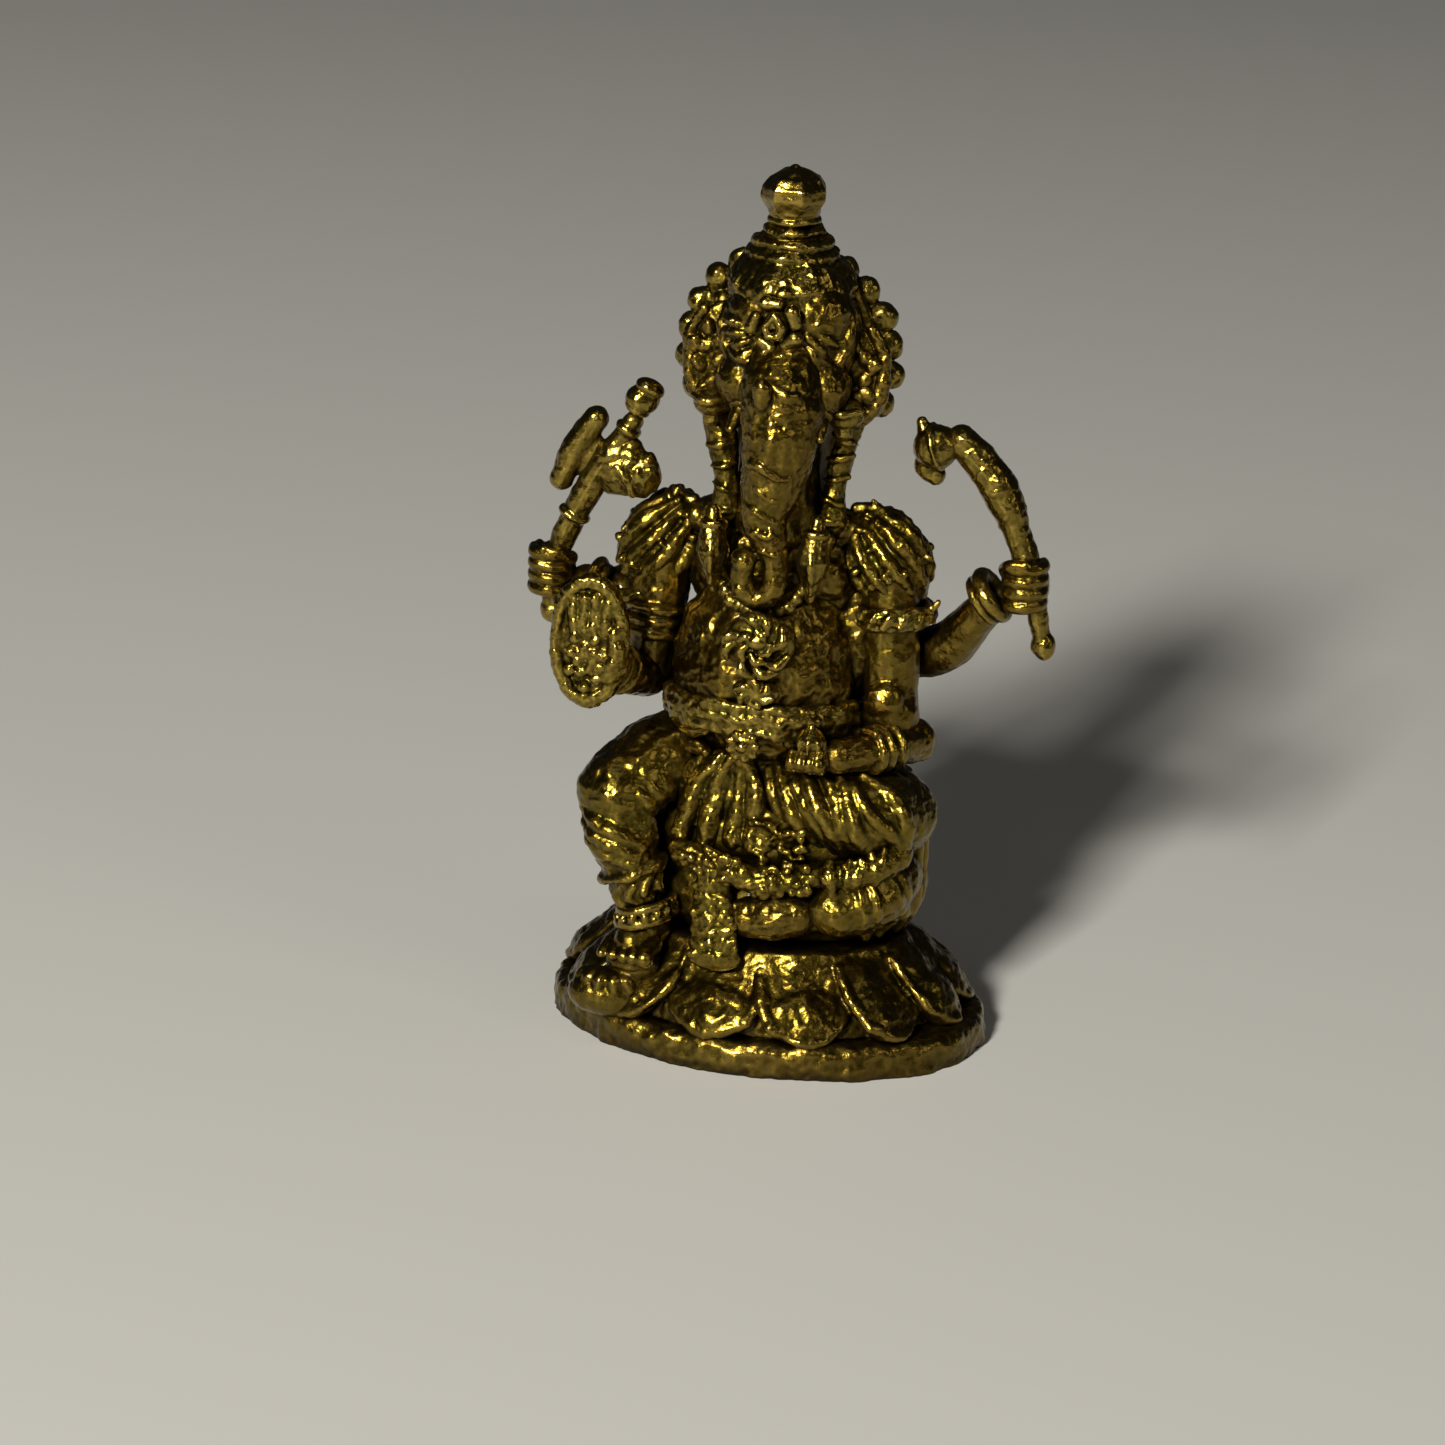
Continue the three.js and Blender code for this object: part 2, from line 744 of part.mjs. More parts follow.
const goadPath = [
  leftFist.clone().add(point(0.8, 0, -2.5)),
  leftFist.clone().add(point(0.35, 0, -0.6)),
  leftFist.clone().add(point(-0.35, 0, 1.7)),
  leftFist.clone().add(point(-1.5, 0, 4.0)),
  leftFist.clone().add(point(-2.9, 0, 5.5)),
];
piece(
  "goad_shaft",
  "arms",
  ORNAMENT_BRASS,
  limb(goadPath, [0.6, 0.5, GOAD_RADIUS * 0.85, GOAD_RADIUS * 1.05, GOAD_RADIUS], { sides: 8 }),
);
piece(
  "goad_head",
  "arms",
  ORNAMENT_BRASS,
  lump(goadPath[4].clone().add(point(-0.9, -0.2, -0.35)), [0.95, 0.85, 0.95], [0, 0, 0], 10, 8),
  lump(goadPath[4].clone().add(point(-1.45, -0.2, 0.15)), [0.4, 0.4, 0.55], [0, -30, 0], 8, 6),
  lump(goadPath[4].clone().add(point(-1.15, 0.2, -1.4)), [0.6, 0.5, 0.6], [0, 0, 0], 8, 6),
);
piece("left_rear_fist", "arms", BODY_BRASS, lump(leftFist, [FIST_RADIUS, FIST_RADIUS, 1.3]));

// Shoulder capes and armlets lie over the arms' tops.
piece(
  "right_cape",
  "arms",
  CLOTH_BRASS,
  lump(fromShoulders(-4.75, 0.6, -0.9), [1.95, 1.9, 2.5], [0, 28, 0], 10, 6),
);
piece(
  "left_cape",
  "arms",
  CLOTH_BRASS,
  lump(fromShoulders(4.1, 0.6, -0.6), [1.75, 1.85, 2.3], [0, -28, 0], 10, 6),
);
piece(
  "left_armlet",
  "arms",
  ORNAMENT_BRASS,
  ring(
    leftShoulder.clone().addScaledVector(leftElbow.clone().sub(leftShoulder).normalize(), 1.7),
    UPPER_ARM_RADIUS + 0.2,
    BANGLE_WIRE * 1.15,
    leftShoulder.clone().sub(leftElbow),
  ),
);

// ---------------------------------------------------------------- fitting the pieces together

const groupPlaces = {
  base: point(0, 0, 0),
  legs: fromHips(0, 0, 0),
  torso: fromHips(0, 0, 0),
  arms: fromShoulders(0, 0, 0),
  head: fromHead(0, 0, 0),
};

const joined = (shapes, grow) => wasm.Manifold.union(shapes.map((shape) => solidOf(shape(grow))));
const boxesMeet = (a, b) => [0, 1, 2].every((k) => a.min[k] < b.max[k] && b.min[k] < a.max[k]);

function geometryOf(solid, place) {
  const mesh = solid.getMesh();
  return new THREE.BufferGeometry()
    .setAttribute("position", new THREE.BufferAttribute(new Float32Array(mesh.vertProperties), 3))
    .setIndex(new THREE.BufferAttribute(new Uint32Array(mesh.triVerts), 1))
    .translate(-place.x, -place.y, -place.z);
}

const statue = new THREE.Group();
const groups = {};
for (const [name, place] of Object.entries(groupPlaces)) {
  groups[name] = new THREE.Group();
  groups[name].position.copy(place);
  statue.add(groups[name]);
}

const cutters = []; // each finished piece, grown by the seam gap
for (const { name, group, material, shapes } of pieces) {
  let solid = joined(shapes, 0);
  const box = solid.boundingBox();
  for (const cutter of cutters) {
    if (boxesMeet(box, cutter.box)) solid = solid.subtract(cutter.solid);
  }
  const grown = joined(shapes, SEAM_GAP);
  cutters.push({ solid: grown, box: grown.boundingBox() });
  const mesh = new THREE.Mesh(geometryOf(solid, groupPlaces[group]), material);
  mesh.name = name;
  groups[group].add(mesh);
}

export default statue;
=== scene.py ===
"""A pocket-sized brass Ganesha, seated on a lotus plinth with an axe and a goad in the rear hands.

It is cast in one pour from a wax that is built up by hand, so every piece here is a lump, roll or bead of
wax turned to brass. Pieces are shaped in millimetres and brought down to metres when they are cast.
"""

import random
from math import atan2, cos, hypot, pi, radians, sin, tau

import bpy
from mathutils import Euler, Matrix, Vector


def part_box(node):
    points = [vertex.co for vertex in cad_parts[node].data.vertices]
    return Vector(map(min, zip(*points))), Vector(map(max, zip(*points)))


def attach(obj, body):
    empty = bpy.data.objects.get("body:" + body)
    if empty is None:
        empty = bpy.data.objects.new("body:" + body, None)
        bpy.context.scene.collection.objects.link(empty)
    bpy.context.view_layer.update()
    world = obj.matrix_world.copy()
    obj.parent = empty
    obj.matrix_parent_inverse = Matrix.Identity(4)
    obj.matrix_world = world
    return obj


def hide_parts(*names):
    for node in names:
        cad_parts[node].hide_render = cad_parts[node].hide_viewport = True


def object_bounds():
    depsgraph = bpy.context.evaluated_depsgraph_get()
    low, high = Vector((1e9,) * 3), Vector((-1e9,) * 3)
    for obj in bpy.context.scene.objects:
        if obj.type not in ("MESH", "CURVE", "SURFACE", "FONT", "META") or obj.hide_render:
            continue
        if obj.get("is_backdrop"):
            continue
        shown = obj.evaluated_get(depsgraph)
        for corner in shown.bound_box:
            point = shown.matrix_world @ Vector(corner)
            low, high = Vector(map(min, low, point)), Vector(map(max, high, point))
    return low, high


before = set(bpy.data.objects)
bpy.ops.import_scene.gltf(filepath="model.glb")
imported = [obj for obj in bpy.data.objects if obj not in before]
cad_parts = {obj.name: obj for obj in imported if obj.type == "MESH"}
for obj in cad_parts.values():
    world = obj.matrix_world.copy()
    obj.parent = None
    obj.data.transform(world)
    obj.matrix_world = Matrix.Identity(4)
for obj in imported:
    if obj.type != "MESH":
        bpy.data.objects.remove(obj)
cad_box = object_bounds()
MM = 0.001

# ----------------------------------------
# The camera stands a hand's length in front of the statuette, a little to its left and above it,
# and leans two degrees, as a phone held close by hand does.

VIEW_AZIMUTH = radians(14)
VIEW_ELEVATION = radians(20)
VIEW_LEAN = radians(2)
VIEW_DISTANCE = 160 * MM
VIEW_AIM = Vector((-2.13, -0.95, 12.89)) * MM
LENS = 99.65

toward_camera = Vector((
    sin(VIEW_AZIMUTH) * cos(VIEW_ELEVATION),
    -cos(VIEW_AZIMUTH) * cos(VIEW_ELEVATION),
    sin(VIEW_ELEVATION),
))
bpy.ops.object.camera_add(location=VIEW_AIM + toward_camera * VIEW_DISTANCE)
camera = bpy.context.object
upright = toward_camera.to_track_quat("Z", "Y")
camera.rotation_euler = (upright.to_matrix() @ Matrix.Rotation(VIEW_LEAN, 3, "Z")).to_euler()
camera.data.lens = LENS
camera.data.sensor_width = 36
camera.data.clip_start = 10 * MM
camera.data.clip_end = 10
bpy.context.scene.camera = camera

# ----------------------------------------
# A plain pale table top, a low key light from the front left that throws the shadow back and to the
# right, a weak fill, and a dim room that the brass mirrors as near black.

KEY_SIZE = 75 * MM
KEY_WATTS = 4.4
KEY_AZIMUTH = radians(-101)
KEY_ELEVATION = radians(30)
KEY_DISTANCE = 520 * MM
FILL_WATTS = 0.2
TABLE_SIZE = 3.0
TABLE_GREY = (0.52, 0.52, 0.50, 1)
ROOM_GREY = (0.02, 0.02, 0.022, 1)


def studio_lamp(name, azimuth, elevation, distance, size, watts, colour):
    """A square soft lamp that faces the statuette."""
    across = cos(elevation) * distance
    stand = Vector((cos(azimuth) * across, sin(azimuth) * across, sin(elevation) * distance))
    aim = Vector((0, 0, 16 * MM))
    bpy.ops.object.light_add(type="AREA", location=aim + stand)
    lamp = bpy.context.object
    lamp.name = name
    lamp.rotation_euler = stand.to_track_quat("Z", "Y").to_euler()
    lamp.data.size = size
    lamp.data.energy = watts
    lamp.data.color = colour
    return lamp


studio_lamp("key_lamp", KEY_AZIMUTH, KEY_ELEVATION, KEY_DISTANCE, KEY_SIZE, KEY_WATTS, (1, 0.96, 0.88))
studio_lamp("top_lamp", radians(-60), radians(75), 450 * MM, 120 * MM, 0.07, (1, 0.98, 0.94))
studio_lamp("fill_lamp", radians(-25), radians(25), 500 * MM, 160 * MM, FILL_WATTS, (1, 0.88, 0.68))

bpy.ops.mesh.primitive_plane_add(size=TABLE_SIZE, location=(0, 0, 0))
table = bpy.context.object
table.name = "table_top"
paint = bpy.data.materials.new("pale_table_paint")
paint.use_nodes = True
paint.node_tree.nodes["Principled BSDF"].inputs["Base Color"].default_value = TABLE_GREY
paint.node_tree.nodes["Principled BSDF"].inputs["Roughness"].default_value = 0.6
table.data.materials.append(paint)
table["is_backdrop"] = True

room = bpy.data.worlds.new("dim_room")
room.use_nodes = True
room.node_tree.nodes["Background"].inputs["Color"].default_value = ROOM_GREY
room.node_tree.nodes["Background"].inputs["Strength"].default_value = 1.0
bpy.context.scene.world = room
bpy.context.scene.view_settings.view_transform = "Standard"

# ----------------------------------------
# The plinth: an oval brass foot, filed flat underneath, with a rounded, slightly lumpy edge left by
# the fingers that pressed its wax.

PLINTH_ROUNDING = 0.5
FILING_ALLOWANCE = 0.4
CRUMB_VERTICES = 100
SOFTENING = 0.5


def near(node, x=0, y=0, z=0):
    """A place in millimetres, counted from the middle of a CAD node's box."""
    low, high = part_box(node)
    return (low + high) / 2 / MM + Vector((x, y, z))


def at(centre, x, y, z):
    """The place that lies this far from a centre."""
    return centre + Vector((x, y, z))


def reach(node):
    """Half of a CAD node's width, depth and height, in millimetres."""
    low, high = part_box(node)
    return (high - low) / 2 / MM


def pick(*things):
    """Selects these objects alone, and makes the first one active."""
    bpy.ops.object.select_all(action="DESELECT")
    for thing in things:
        thing.select_set(True)
    bpy.context.view_layer.objects.active = things[0]


def press(piece, kind, **settings):
    """Adds one modifier to a piece and applies it."""
    pick(piece)
    bpy.ops.object.modifier_add(type=kind)
    modifier = piece.modifiers[-1]
    for name, value in settings.items():
        setattr(modifier, name, value)
    bpy.ops.object.modifier_apply(modifier=modifier.name)


def joined(parts):
    """Several lumps as one mesh, with its place in its vertices."""
    pick(*parts)
    if len(parts) > 1:
        bpy.ops.object.join()
    bpy.ops.object.transform_apply(location=True, rotation=True, scale=True)
    return bpy.context.object


def dimples(name, size):
    """The unevenness of hand-worked wax, as a cloud pattern with features of one size."""
    pattern = bpy.data.textures.new(name, "CLOUDS")
    pattern.noise_scale = size
    pattern.noise_depth = 2
    return pattern


broad_dimples = dimples("broad_dimples", 1.3)
fine_dimples = dimples("fine_dimples", 0.38)


def swept(piece):
    """The piece without the loose crumbs, of a few faces each, that fusing can leave behind."""
    pick(piece)
    bpy.ops.mesh.separate(type="LOOSE")
    shards = list(bpy.context.selected_objects)
    crumbs = [shard for shard in shards if len(shard.data.vertices) < CRUMB_VERTICES]
    whole = [shard for shard in shards if len(shard.data.vertices) >= CRUMB_VERTICES]
    if crumbs:
        pick(*crumbs)
        bpy.ops.object.delete()
    return joined(whole)


def cast(node, parts, metal, grain=0.08, soften=4, lumps=0.16, pits=0.05):
    """Fuses lumps of wax into one skin, works it uneven, and casts it in place of its CAD node."""
    piece = joined(parts)
    press(piece, "REMESH", mode="VOXEL", voxel_size=grain)
    piece = swept(piece)
    piece.name = piece.data.name = "cast_" + node
    press(piece, "SMOOTH", factor=SOFTENING, iterations=soften)
    if lumps:
        press(piece, "DISPLACE", texture=broad_dimples, strength=lumps, mid_level=0.5)
    if pits:
        press(piece, "DISPLACE", texture=fine_dimples, strength=pits, mid_level=0.5)
    pick(piece)
    bpy.ops.transform.resize(value=(MM, MM, MM), center_override=(0, 0, 0))
    bpy.ops.object.transform_apply(location=True, rotation=True, scale=True)
    bpy.ops.object.shade_smooth()
    piece.data.materials.clear()
    piece.data.materials.append(metal)
    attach(piece, "root")
    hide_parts(node)
    return piece


def aged_brass(slot, bright, worn, rough):
    """Cast brass rubbed bright on its high spots, with painted shade, partly tarnish, darkening its
    hollows.
    """
    metal = bpy.data.materials.new(slot)
    metal.use_nodes = True
    metal["slot"] = slot
    nodes, links = metal.node_tree.nodes, metal.node_tree.links
    skin = nodes["Principled BSDF"]
    skin.inputs["Metallic"].default_value = 1.0
    skin.inputs["Coat Weight"].default_value = 0.13
    skin.inputs["Coat Roughness"].default_value = 0.07
    place = nodes.new("ShaderNodeTexCoord").outputs["Object"]

    def noise(size, detail=4.0, distortion=0.0):
        node = nodes.new("ShaderNodeTexNoise")
        node.inputs["Scale"].default_value = 1 / (size * MM)
        node.inputs["Detail"].default_value = detail
        node.inputs["Distortion"].default_value = distortion
        links.new(place, node.inputs["Vector"])
        return node.outputs["Fac"]

    def ramp(value, *stops):
        node = nodes.new("ShaderNodeValToRGB")
        links.new(value, node.inputs["Fac"])
        while len(node.color_ramp.elements) < len(stops):
            node.color_ramp.elements.new(0.5)
        for element, (position, colour) in zip(node.color_ramp.elements, stops):
            element.position = position
            element.color = colour
        return node.outputs["Color"]

    def mix(kind, share, one, two):
        node = nodes.new("ShaderNodeMix")
        node.data_type = "RGBA"
        node.blend_type = kind
        if isinstance(share, float):
            node.inputs["Factor"].default_value = share
        else:
            links.new(share, node.inputs["Factor"])
        for socket, value in ((node.inputs[6], one), (node.inputs[7], two)):
            if isinstance(value, tuple):
                socket.default_value = value
            else:
                links.new(value, socket)
        return node.outputs[2]

    black, white = (0, 0, 0, 1), (1, 1, 1, 1)
    # Painted shade: ambient occlusion takes the colour down to near-black in hollows, creases and between
    # pieces. This is partly tarnish and partly the shade that falls there. The same occlusion also roughens
    # those hollows.
    hollow = nodes.new("ShaderNodeAmbientOcclusion")
    hollow.samples = 6
    hollow.inputs["Distance"].default_value = 0.9 * MM
    unshaded_share = ramp(hollow.outputs["AO"], (0.3, black), (0.95, white))
    edge = ramp(nodes.new("ShaderNodeNewGeometry").outputs["Pointiness"], (0.47, black), (0.54, white))

    shade_and_tarnish = (0.008, 0.004, 0.0008, 1)
    olive = (worn[0] * 0.72, worn[1] * 0.98, worn[2] * 0.5, 1)
    base = mix("MIX", ramp(noise(2.2), (0.38, black), (0.66, white)), olive, worn)
    copper = ramp(noise(0.42, 3.0, 0.6), (0.63, black), (0.72, white))
    base = mix("MIX", mix("MULTIPLY", 1.0, copper, (0.45, 0.45, 0.45, 1)), base, (0.14, 0.04, 0.015, 1))
    base = mix("MIX", edge, base, bright)
    base = mix("MIX", unshaded_share, shade_and_tarnish, base)
    links.new(base, skin.inputs["Base Color"])

    dull = mix("MIX", noise(0.6, 5.0), (rough * 0.7,) * 3 + (1,), (rough * 1.5,) * 3 + (1,))
    dull = mix("MIX", unshaded_share, (0.6, 0.6, 0.6, 1), dull)
    links.new(dull, skin.inputs["Roughness"])

    grain = nodes.new("ShaderNodeMath")
    grain.operation = "ADD"
    links.new(noise(0.22, 6.0), grain.inputs[0])
    links.new(noise(0.75, 3.0), grain.inputs[1])
    relief = nodes.new("ShaderNodeBump")
    relief.inputs["Strength"].default_value = 0.55
    relief.inputs["Distance"].default_value = 0.06 * MM
    links.new(grain.outputs[0], relief.inputs["Height"])
    links.new(relief.outputs["Normal"], skin.inputs["Normal"])
    return metal


base_brass = aged_brass("base_brass", (0.205, 0.138, 0.022, 1), (0.068, 0.041, 0.0035, 1), 0.24)

plinth = reach("plinth")
bpy.ops.mesh.primitive_cylinder_add(
    vertices=96,
    radius=1,
    depth=plinth.z * 2 + FILING_ALLOWANCE,
    location=near("plinth", 0, 0, -FILING_ALLOWANCE / 2),
    scale=(plinth.x - 0.1, plinth.y - 0.1, 1),
)
foot = bpy.context.object
bpy.ops.object.transform_apply(location=False, rotation=False, scale=True)
bpy.ops.object.mode_set(mode="EDIT")
bpy.ops.mesh.select_all(action="SELECT")
bpy.ops.mesh.bevel(offset=PLINTH_ROUNDING, segments=4, affect="EDGES")
bpy.ops.object.mode_set(mode="OBJECT")
foot = cast("plinth", [foot], base_brass, grain=0.1, lumps=0.5, pits=0.1)
pick(foot)
bpy.ops.object.mode_set(mode="EDIT")
bpy.ops.mesh.select_all(action="SELECT")
bpy.ops.mesh.bisect(
    plane_co=(0, 0, 0), plane_no=(0, 0, 1), use_fill=True, clear_inner=True, threshold=1e-7
)
bpy.ops.object.mode_set(mode="OBJECT")

# ----------------------------------------
# The lotus: thick rounded petals, each a flattened pellet of wax with a rolled border and a rib,
# leaning out all round a low core.

PETALS = 13
PETAL_LEAN = radians(-42)


def pellet(centre, halves, turn=(0, 0, 0)):
    """A rounded lump of wax: its middle, its half sizes, and its turn in degrees."""
    bpy.ops.mesh.primitive_uv_sphere_add(
        segments=20,
        ring_count=12,
        radius=1,
        location=centre,
        rotation=[radians(angle) for angle in turn],
        scale=halves,
    )
    return [bpy.context.object]


def roll(points, radii, closed=False):
    """A rolled strand of wax along a smooth line, with its own radius at each point and round ends."""
    bpy.ops.curve.primitive_bezier_curve_add()
    wire = bpy.context.object
    wire.data.bevel_depth = 1
    wire.data.bevel_resolution = 5
    wire.data.resolution_u = 6
    wire.data.use_fill_caps = True
    line = wire.data.splines[0]
    line.bezier_points.add(len(points) - 2)
    line.use_cyclic_u = closed
    for knot, point, radius in zip(line.bezier_points, points, radii):
        knot.co = point
        knot.radius = radius
        knot.handle_left_type = knot.handle_right_type = "AUTO"
    pick(wire)
    bpy.ops.object.convert(target="MESH")
    ends = [] if closed else [(points[0], radii[0]), (points[-1], radii[-1])]
    return [bpy.context.object] + [
        lump for point, radius in ends for lump in pellet(point, (radius,) * 3)
    ]


def turned(centre, profile, depth_share=1.0, sides=48):
    """A lathe-like solid, drawn up ring by ring from a disc: profile holds (radius, height) pairs."""
    (first_radius, first_height), *rest = profile
    bpy.ops.mesh.primitive_circle_add(
        vertices=sides, radius=first_radius, fill_type="NGON", location=centre + Vector(
            (0, 0, first_height)
        )
    )
    disc = bpy.context.object
    bpy.ops.object.mode_set(mode="EDIT")
    bpy.ops.mesh.select_all(action="SELECT")
    radius, height = first_radius, first_height
    for next_radius, next_height in rest:
        bpy.ops.mesh.extrude_region_move(TRANSFORM_OT_translate={"value": (0, 0, next_height - height)})
        grow = next_radius / radius
        bpy.ops.transform.resize(
            value=(grow, grow, 1), center_override=centre + Vector((0, 0, next_height))
        )
        radius, height = next_radius, next_height
    bpy.ops.mesh.select_all(action="SELECT")
    bpy.ops.mesh.normals_make_consistent(inside=False)
    bpy.ops.object.mode_set(mode="OBJECT")
    disc.scale.y = depth_share
    disc.location.y = centre.y
    return [disc]


def copied(part, location, turn=(0, 0, 0), scale=(1, 1, 1)):
    """A copy of a shaped lump, with its own mesh, put somewhere else."""
    twin = part.copy()
    twin.data = part.data.copy()
    bpy.context.collection.objects.link(twin)
    twin.location = location
    twin.rotation_euler = turn
    twin.scale = scale
    return twin


one_petal = joined(
    pellet((0, 0, 0.1), (0.6, 1.02, 2.15))
    + pellet((0.14, 0, -0.85), (0.66, 1.0, 1.3))
    + roll([(0.1, -0.8, 1.5), (0.2, -1.0, 0), (0.3, -0.84, -1.3)], [0.14, 0.2, 0.22])
    + roll([(0.1, 0.8, 1.5), (0.2, 1.0, 0), (0.3, 0.84, -1.3)], [0.14, 0.2, 0.22])
    + roll([(0.3, -0.8, -1.4), (0.32, 0, -2.05), (0.3, 0.8, -1.4)], [0.2, 0.25, 0.2])
)
lotus = reach("lotus")
petal_ring = Vector((lotus.x - 1.75, lotus.y - 1.7))
parts = turned(near("lotus", 0, 0, -1.65), [(1, 0), (7.6, 0), (7.3, 0.6), (5.7, 3.2), (1, 3.2)], 0.72)
for i in range(PETALS):
    angle = (i + 0.5) / PETALS * 2 * pi
    outward = atan2(sin(angle) * petal_ring.y, cos(angle) * petal_ring.x)
    spacing = hypot(petal_ring.x * sin(angle), petal_ring.y * cos(angle)) * 2 * pi / PETALS
    lean = Euler((0, PETAL_LEAN, 0)).to_matrix()
    turn = (Matrix.Rotation(outward, 3, "Z") @ lean).to_euler()
    centre = near("lotus", petal_ring.x * cos(angle), petal_ring.y * sin(angle), -0.1)
    parts.append(copied(one_petal, centre, turn, (1, spacing * 0.52, 1)))
bpy.data.objects.remove(one_petal)
cast("lotus", parts, base_brass, grain=0.09, soften=3, lumps=0.35, pits=0.1)

# ----------------------------------------
# The small flower pad that the hanging foot rests on: a button of wax, pressed on the lotus, with petals
# pinched round it.

PAD_PETALS = 7


def shifted(centre, *offsets):
    """The places that lie at these offsets from a centre."""
    return [centre + Vector(offset) for offset in offsets]


pad = near("foot_pad")
parts = pellet(at(pad, 0, 0, -0.1), (1.8, 1.15, 1.0), (0, 0, 15))
parts += pellet(at(pad, 0.9, 0.6, 1.1), (1.3, 1.2, 0.75))
for i in range(PAD_PETALS):
    angle = radians(-160 + i * 28)
    tip = Vector((cos(angle) * 1.15, sin(angle) * 0.75, 0.28))
    parts += roll(
        [at(pad, 0, -0.1, 0.75), pad + tip + Vector((0, 0, 0.35)), pad + tip * 1.25], [0.22, 0.34, 0.2]
    )
cast("foot_pad", parts, base_brass, grain=0.07, soften=3, lumps=0.1)

# ----------------------------------------
# The seat: a low throne cushion of two rolls, wrapped in cloth that is pleated down its sides and back.
# Its brass is that of all cloth on the figure.

cloth_brass = aged_brass("cloth_brass", (0.245, 0.168, 0.025, 1), (0.078, 0.049, 0.0035, 1), 0.22)

SEAT_FOLDS = 26
SEAT_DEPTH_SHARE = 0.69

seat = near("seat")
parts = turned(
    at(seat, 0, 0, -2.75),
    [
        (4, 0), (5.3, 0), (6.0, 0.8), (6.1, 1.6), (5.6, 2.4), (5.75, 3.0), (6.05, 3.9), (5.7, 4.9),
        (4.6, 5.5), (2, 5.5),
    ],
    SEAT_DEPTH_SHARE,
)
for i in range(SEAT_FOLDS):
    angle = radians(-38 + i * 256 / (SEAT_FOLDS - 1))
    lean = sin(i * 2.1) * 0.06
    ring = [(5.6, 2.5), (5.95, 1.4), (6.02, -0.2), (6.0, -1.6), (5.5, -2.6)]
    spots = [
        at(seat, cos(angle + lean * k) * out, sin(angle + lean * k) * out * SEAT_DEPTH_SHARE, high)
        for k, (out, high) in enumerate(ring)
    ]
    parts += roll(spots, [0.16, 0.24, 0.2, 0.26, 0.2])
cast("seat", parts, cloth_brass, grain=0.115, soften=3, lumps=0.25)

# ----------------------------------------
# The cloth that falls from the lap over the front of the seat. It widens downward, and is stippled all over
# with crumbs of wax, as a tiger skin is.

DRAPE_STIPPLES = 120


def part_way(path, share):
    """A spot this share of the way along a path."""
    spans = len(path) - 1
    first = min(int(share * spans), spans - 1)
    return path[first].lerp(path[first + 1], share * spans - first)


fall = shifted(near("seat_drape"), (0.02, 0.3, 2.24), (0.17, 0.05, 0.44), (0.37, -0.3, -1.46))
chance = random.Random(7)
parts = []
for i in range(9):
    down = i / 8
    spine = part_way(fall, down)
    parts += pellet(spine, (0.62 + 0.5 * down, 0.42, 0.6))
for i in range(DRAPE_STIPPLES):
    down, across = chance.random(), chance.uniform(-1, 1)
    spine = part_way(fall, down)
    spot = at(spine, across * (0.5 + 0.55 * down), -0.38 + 0.2 * abs(across), 0)
    parts += pellet(spot, (chance.uniform(0.1, 0.22), 0.15, chance.uniform(0.1, 0.22)))
cast("seat_drape", parts, cloth_brass, grain=0.06, soften=2, lumps=0.1, pits=0.1)

# ----------------------------------------
# The legs are wrapped in a dhoti: rolls of wax, with its folds laid on as thinner strands. The right
# one hangs down to the foot pad.

FRONT = Vector((0, -1, 0))


def on_skin(path, radii, along, angle, lift=0.95):
    """A spot on a limb: its share of the way along the path, and its angle round it from the front."""
    spans = len(path) - 1
    first = min(int(along * spans), spans - 1)
    share = along * spans - first
    run = (path[first + 1] - path[first]).normalized()
    outward = (FRONT - run * FRONT.dot(run)).normalized()
    side = run.cross(outward)
    radius = radii[first] + (radii[first + 1] - radii[first]) * share
    turn = radians(angle)
    spoke = outward * cos(turn) + side * sin(turn)
    return path[first].lerp(path[first + 1], share) + spoke * radius * lift


def fold(path, radii, places, thickness, lift=0.95):
    """A fold of cloth on a limb, through several (along, angle) places."""
    spots = [on_skin(path, radii, along, angle, lift) for along, angle in places]
    thin = [thickness * (0.55 if i in (0, len(spots) - 1) else 1) for i in range(len(spots))]
    return roll(spots, thin)


thigh = shifted(near("right_thigh"), (1.54, 1.63, 0.26), (-0.36, -0.37, 0.16), (-1.61, -1.82, -0.74))
girth = [1.9, 1.85, 1.68]
parts = roll(thigh, girth)
for i in range(3):
    start = 0.62 + i * 0.13
    parts += fold(thigh, girth, [(start, -80), (start + 0.05, -30), (min(start + 0.1, 1), 25)], 0.3, 0.93)
parts += roll(
    shifted(near("right_thigh"), (1.14, -0.27, 1.56), (-0.06, -1.17, 1.26), (-1.26, -1.97, 0.36)),
    [0.4, 0.5, 0.4],
)
cast("right_thigh", parts, cloth_brass, soften=3, lumps=0.4, pits=0.1)

shin = shifted(
    near("right_shin"), (-0.45, 0.09, 2.62), (0, -0.21, 0.82), (0.55, -0.26, -0.48), (0.95, -0.21, -1.78)
)
girth = [1.5, 1.42, 1.0, 0.92]
parts = roll(shin, girth)
for i in range(3):
    start = i * 0.11
    parts += fold(
        shin, girth,
        [(start, 60), (start + 0.1, 25), (start + 0.22, -15), (start + 0.34, -50)],
        0.32, 0.95,
    )
hem = [on_skin(shin, girth, 0.56, angle, 1.1) for angle in range(0, 360, 30)]
parts += roll(hem, [0.26, 0.2, 0.24, 0.3, 0.26, 0.2] * 2, closed=True)
for i in range(5):
    parts += fold(shin, girth, [(0.66, i * 40 - 90), (0.76, i * 40 - 70), (0.86, i * 40 - 85)], 0.2, 1.02)
cast("right_shin", parts, cloth_brass, grain=0.07, soften=3, lumps=0.35, pits=0.12)

# ----------------------------------------
# The anklet of the hanging leg: two rolled rings with beads between them, in the brighter brass of the
# parts that hands rub most.

UP = Vector((0, 0, 1))

ornament_brass = aged_brass("ornament_brass", (0.315, 0.222, 0.042, 1), (0.090, 0.058, 0.005, 1), 0.19)


